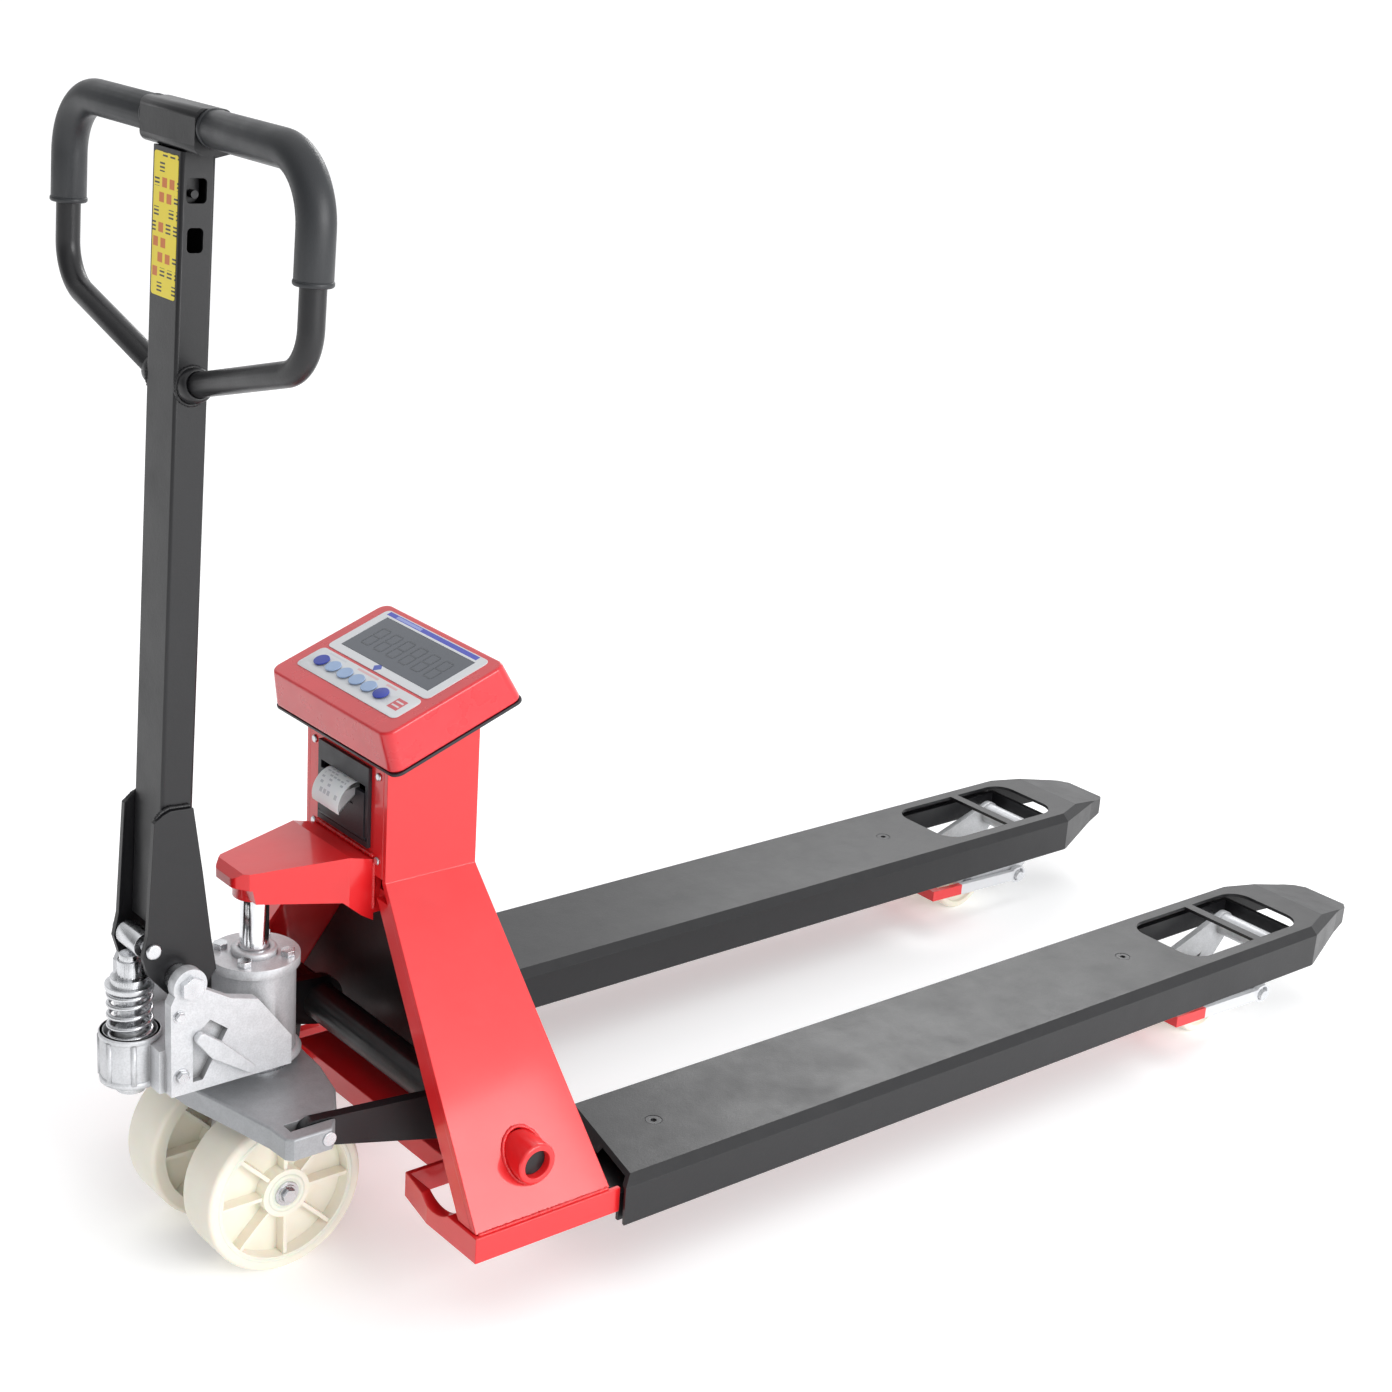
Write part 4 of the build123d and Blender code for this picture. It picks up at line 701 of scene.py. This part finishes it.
def pump_ribs():
    """Cast ribs and rims on the cup and barrel."""
    bm = bmesh.new()
    cup = heel(PLUNGER_X, 0, CUP_FLOOR)
    rim = [(0.0465, 0.0250), (0.0500, 0.0252), (0.0500, 0.0284),
           (0.0485, 0.0292), (0.0450, 0.0290), (0.0445, 0.0276)]
    lathe(bm, rim, cup, (0, 0, 1), 56)
    base = [(0.0, 0.0270), (0.0, 0.0288), (0.0035, 0.0291), (0.0060, 0.0284), (0.0065, 0.0270)]
    lathe(bm, base, cup, (0, 0, 1), 56)
    for angle in (150, 200, 250):
        turn = math.radians(angle)
        out = Vector((math.cos(turn), math.sin(turn), 0))
        start = cup + out * 0.0272
        ends = [start + Vector((0, 0, height)) for height in (0.004, 0.045)]
        rings_to_bm(bm, sweep_rings(ends, 0.0030, 12))
    barrel = heel(STEER_X, 0, BARREL_LOW)
    skirt = [(0.0, 0.0390), (0.0, 0.0455), (0.0030, 0.0458), (0.0065, 0.0430), (0.0080, 0.0396)]
    lathe(bm, skirt, barrel, (0, 0, 1), 72)
    collar = heel(STEER_X, 0, CAP_TOP)
    gland = [(0.0, 0.0150), (0.0, 0.0225), (0.0050, 0.0222), (0.0066, 0.0205), (0.0066, 0.0150)]
    lathe(bm, gland, collar, (0, 0, 1), 56)
    new_piece("pump_ribs", bm, "cast_silver", "steering")


def lcd_segments():
    """The six unlit digits that show faintly in the display window."""
    bm = bmesh.new()
    tilt = Matrix.Translation(CONSOLE_ORIGIN) @ Matrix.Rotation(-CONSOLE_TILT, 4, "Y")
    top = CONSOLE_TOP + 0.00002
    wide, tall, stroke = 0.0066, 0.0140, 0.0018
    x, first_y, pitch = 0.102, 0.0550, 0.0220

    def bar(x0, y0, x1, y1):
        start, end = Vector((x0, y0, 0)), Vector((x1, y1, 0))
        along = (end - start).normalized()
        across = Vector((-along.y, along.x, 0))
        half = stroke / 2
        tips = [start, start + (along + across) * half, end + (across - along) * half,
                end, end - (along + across) * half, start + (along - across) * half]
        low = [bm.verts.new(tilt @ Vector((p.x, p.y, top))) for p in tips]
        high = [bm.verts.new(tilt @ Vector((p.x, p.y, top + 0.00012))) for p in tips]
        bm.faces.new(high)
        bm.faces.new(list(reversed(low)))
        for k in range(6):
            after = (k + 1) % 6
            bm.faces.new((low[k], low[after], high[after], high[k]))

    for digit in range(6):
        y = first_y - pitch * digit
        for sx in (-1, 0, 1):
            bar(x + sx * tall, y - wide + 0.0004, x + sx * tall, y + wide - 0.0004)
        for sy in (-1, 1):
            bar(x + 0.0006, y + sy * wide, x + tall - 0.0006, y + sy * wide)
            bar(x - tall + 0.0006, y + sy * wide, x - 0.0006, y + sy * wide)
    new_piece("lcd_segments", bm, "lcd_dark", "chassis", smooth=False)


def wheel_details(side, body):
    """Bearing cap ring and grease groove on the outer face of a steering wheel."""
    bm = bmesh.new()
    centre = heel(AXLE_X, side * 84, WHEEL_RADIUS)
    ring = [(-0.0020, 0.0140), (0.0004, 0.0145), (0.0010, 0.0170), (0.0004, 0.0196), (-0.0020, 0.0200)]
    lathe(bm, ring, centre, (0, side, 0), 48)
    rim = [(-0.0030, 0.0690), (0.0002, 0.0700), (0.0005, 0.0715), (0.0002, 0.0730), (-0.0030, 0.0740)]
    lathe(bm, rim, centre, (0, side, 0), 90)
    new_piece(f"{body}_rings", bm, "nylon", body)


post_label()
grip_rims()
loop_collars()
bracket_welds()
frame_welds()
pump_spring()
pump_fittings()
pump_ribs()
lcd_segments()
wheel_details(-1, "right_wheel")
wheel_details(1, "left_wheel")

# ---------------------------------------------------------------- camera, floor and light

CAMERA_AT = Vector((-1.6778, -1.8317, 1.3314))
CAMERA_LENS = 61.95
YAW, PITCH, ROLL = (math.radians(a) for a in (49.460, 19.697, 4.064))
ahead = Vector((math.cos(PITCH) * math.cos(YAW), math.cos(PITCH) * math.sin(YAW), -math.sin(PITCH)))
level = Vector((math.sin(YAW), -math.cos(YAW), 0))
above = level.cross(ahead)
right = level * math.cos(ROLL) + above * math.sin(ROLL)
up = above * math.cos(ROLL) - level * math.sin(ROLL)
camera_data = bpy.data.cameras.new("Camera")
camera_data.lens = CAMERA_LENS
camera_data.sensor_width = 36.0
camera_data.clip_start = 0.05
camera = bpy.data.objects.new("Camera", camera_data)
camera.matrix_world = Matrix((
    (right.x, up.x, -ahead.x, CAMERA_AT.x),
    (right.y, up.y, -ahead.y, CAMERA_AT.y),
    (right.z, up.z, -ahead.z, CAMERA_AT.z),
    (0, 0, 0, 1),
))
bpy.context.scene.collection.objects.link(camera)
bpy.context.scene.camera = camera

FLOOR_HALF = 60.0
floor_mesh = bpy.data.meshes.new("Floor")
corners = [(x * FLOOR_HALF, y * FLOOR_HALF, 0) for x, y in ((-1, -1), (1, -1), (1, 1), (-1, 1))]
floor_mesh.from_pydata(corners, [], [(0, 1, 2, 3)])
floor = bpy.data.objects.new("Floor", floor_mesh)
bpy.context.scene.collection.objects.link(floor)
floor_material, floor_tree, floor_shader = new_material("FloorWhite")
set_shader(floor_shader, Roughness=0.9, Specular_IOR_Level=0.1,
           Emission_Color=(1.0, 1.0, 1.0), Emission_Strength=0.22,
           Base_Color=mix(floor_tree, grain(floor_tree, 1.5), (0.94, 0.94, 0.94), (0.96, 0.96, 0.96)))
floor_mesh.materials.append(floor_material)


def area_light(name, at, toward, size, power):
    data = bpy.data.lights.new(name, "AREA")
    data.shape = "RECTANGLE"
    data.size, data.size_y = size
    data.energy = power
    light = bpy.data.objects.new(name, data)
    light.location = at
    light.rotation_mode = "QUATERNION"
    light.rotation_quaternion = (Vector(toward) - Vector(at)).to_track_quat("-Z", "Y")
    bpy.context.scene.collection.objects.link(light)


# name, place, aim, size, watts
area_light("Key", (0.5, -3.6, 1.7), (-0.1, 0, 0.4), (2.8, 1.6), 85)
area_light("Strip", (2.6, 1.9, 2.3), (0.0, -0.1, 0.1), (1.6, 0.7), 26)

# A white sky, dimmer on the handle's side
world = bpy.data.worlds.new("World")
world.use_nodes = True
sky = world.node_tree
direction = add(sky, "ShaderNodeTexCoord").outputs["Generated"]
toward_light = sky.nodes.new("ShaderNodeVectorMath")
toward_light.operation = "DOT_PRODUCT"
sky.links.new(direction, toward_light.inputs[0])
toward_light.inputs[1].default_value = (0.90, -0.20, 0.40)
strength = add(sky, "ShaderNodeMapRange", Value=toward_light.outputs["Value"],
               From_Min=-0.75, From_Max=0.30, To_Min=0.30, To_Max=1.04, interpolation_type="SMOOTHSTEP")
sky.nodes["Background"].inputs["Color"].default_value = (0.985, 0.99, 1.0, 1)
sky.links.new(strength.outputs["Result"], sky.nodes["Background"].inputs["Strength"])
bpy.context.scene.world = world
bpy.context.scene.view_settings.view_transform = "Standard"
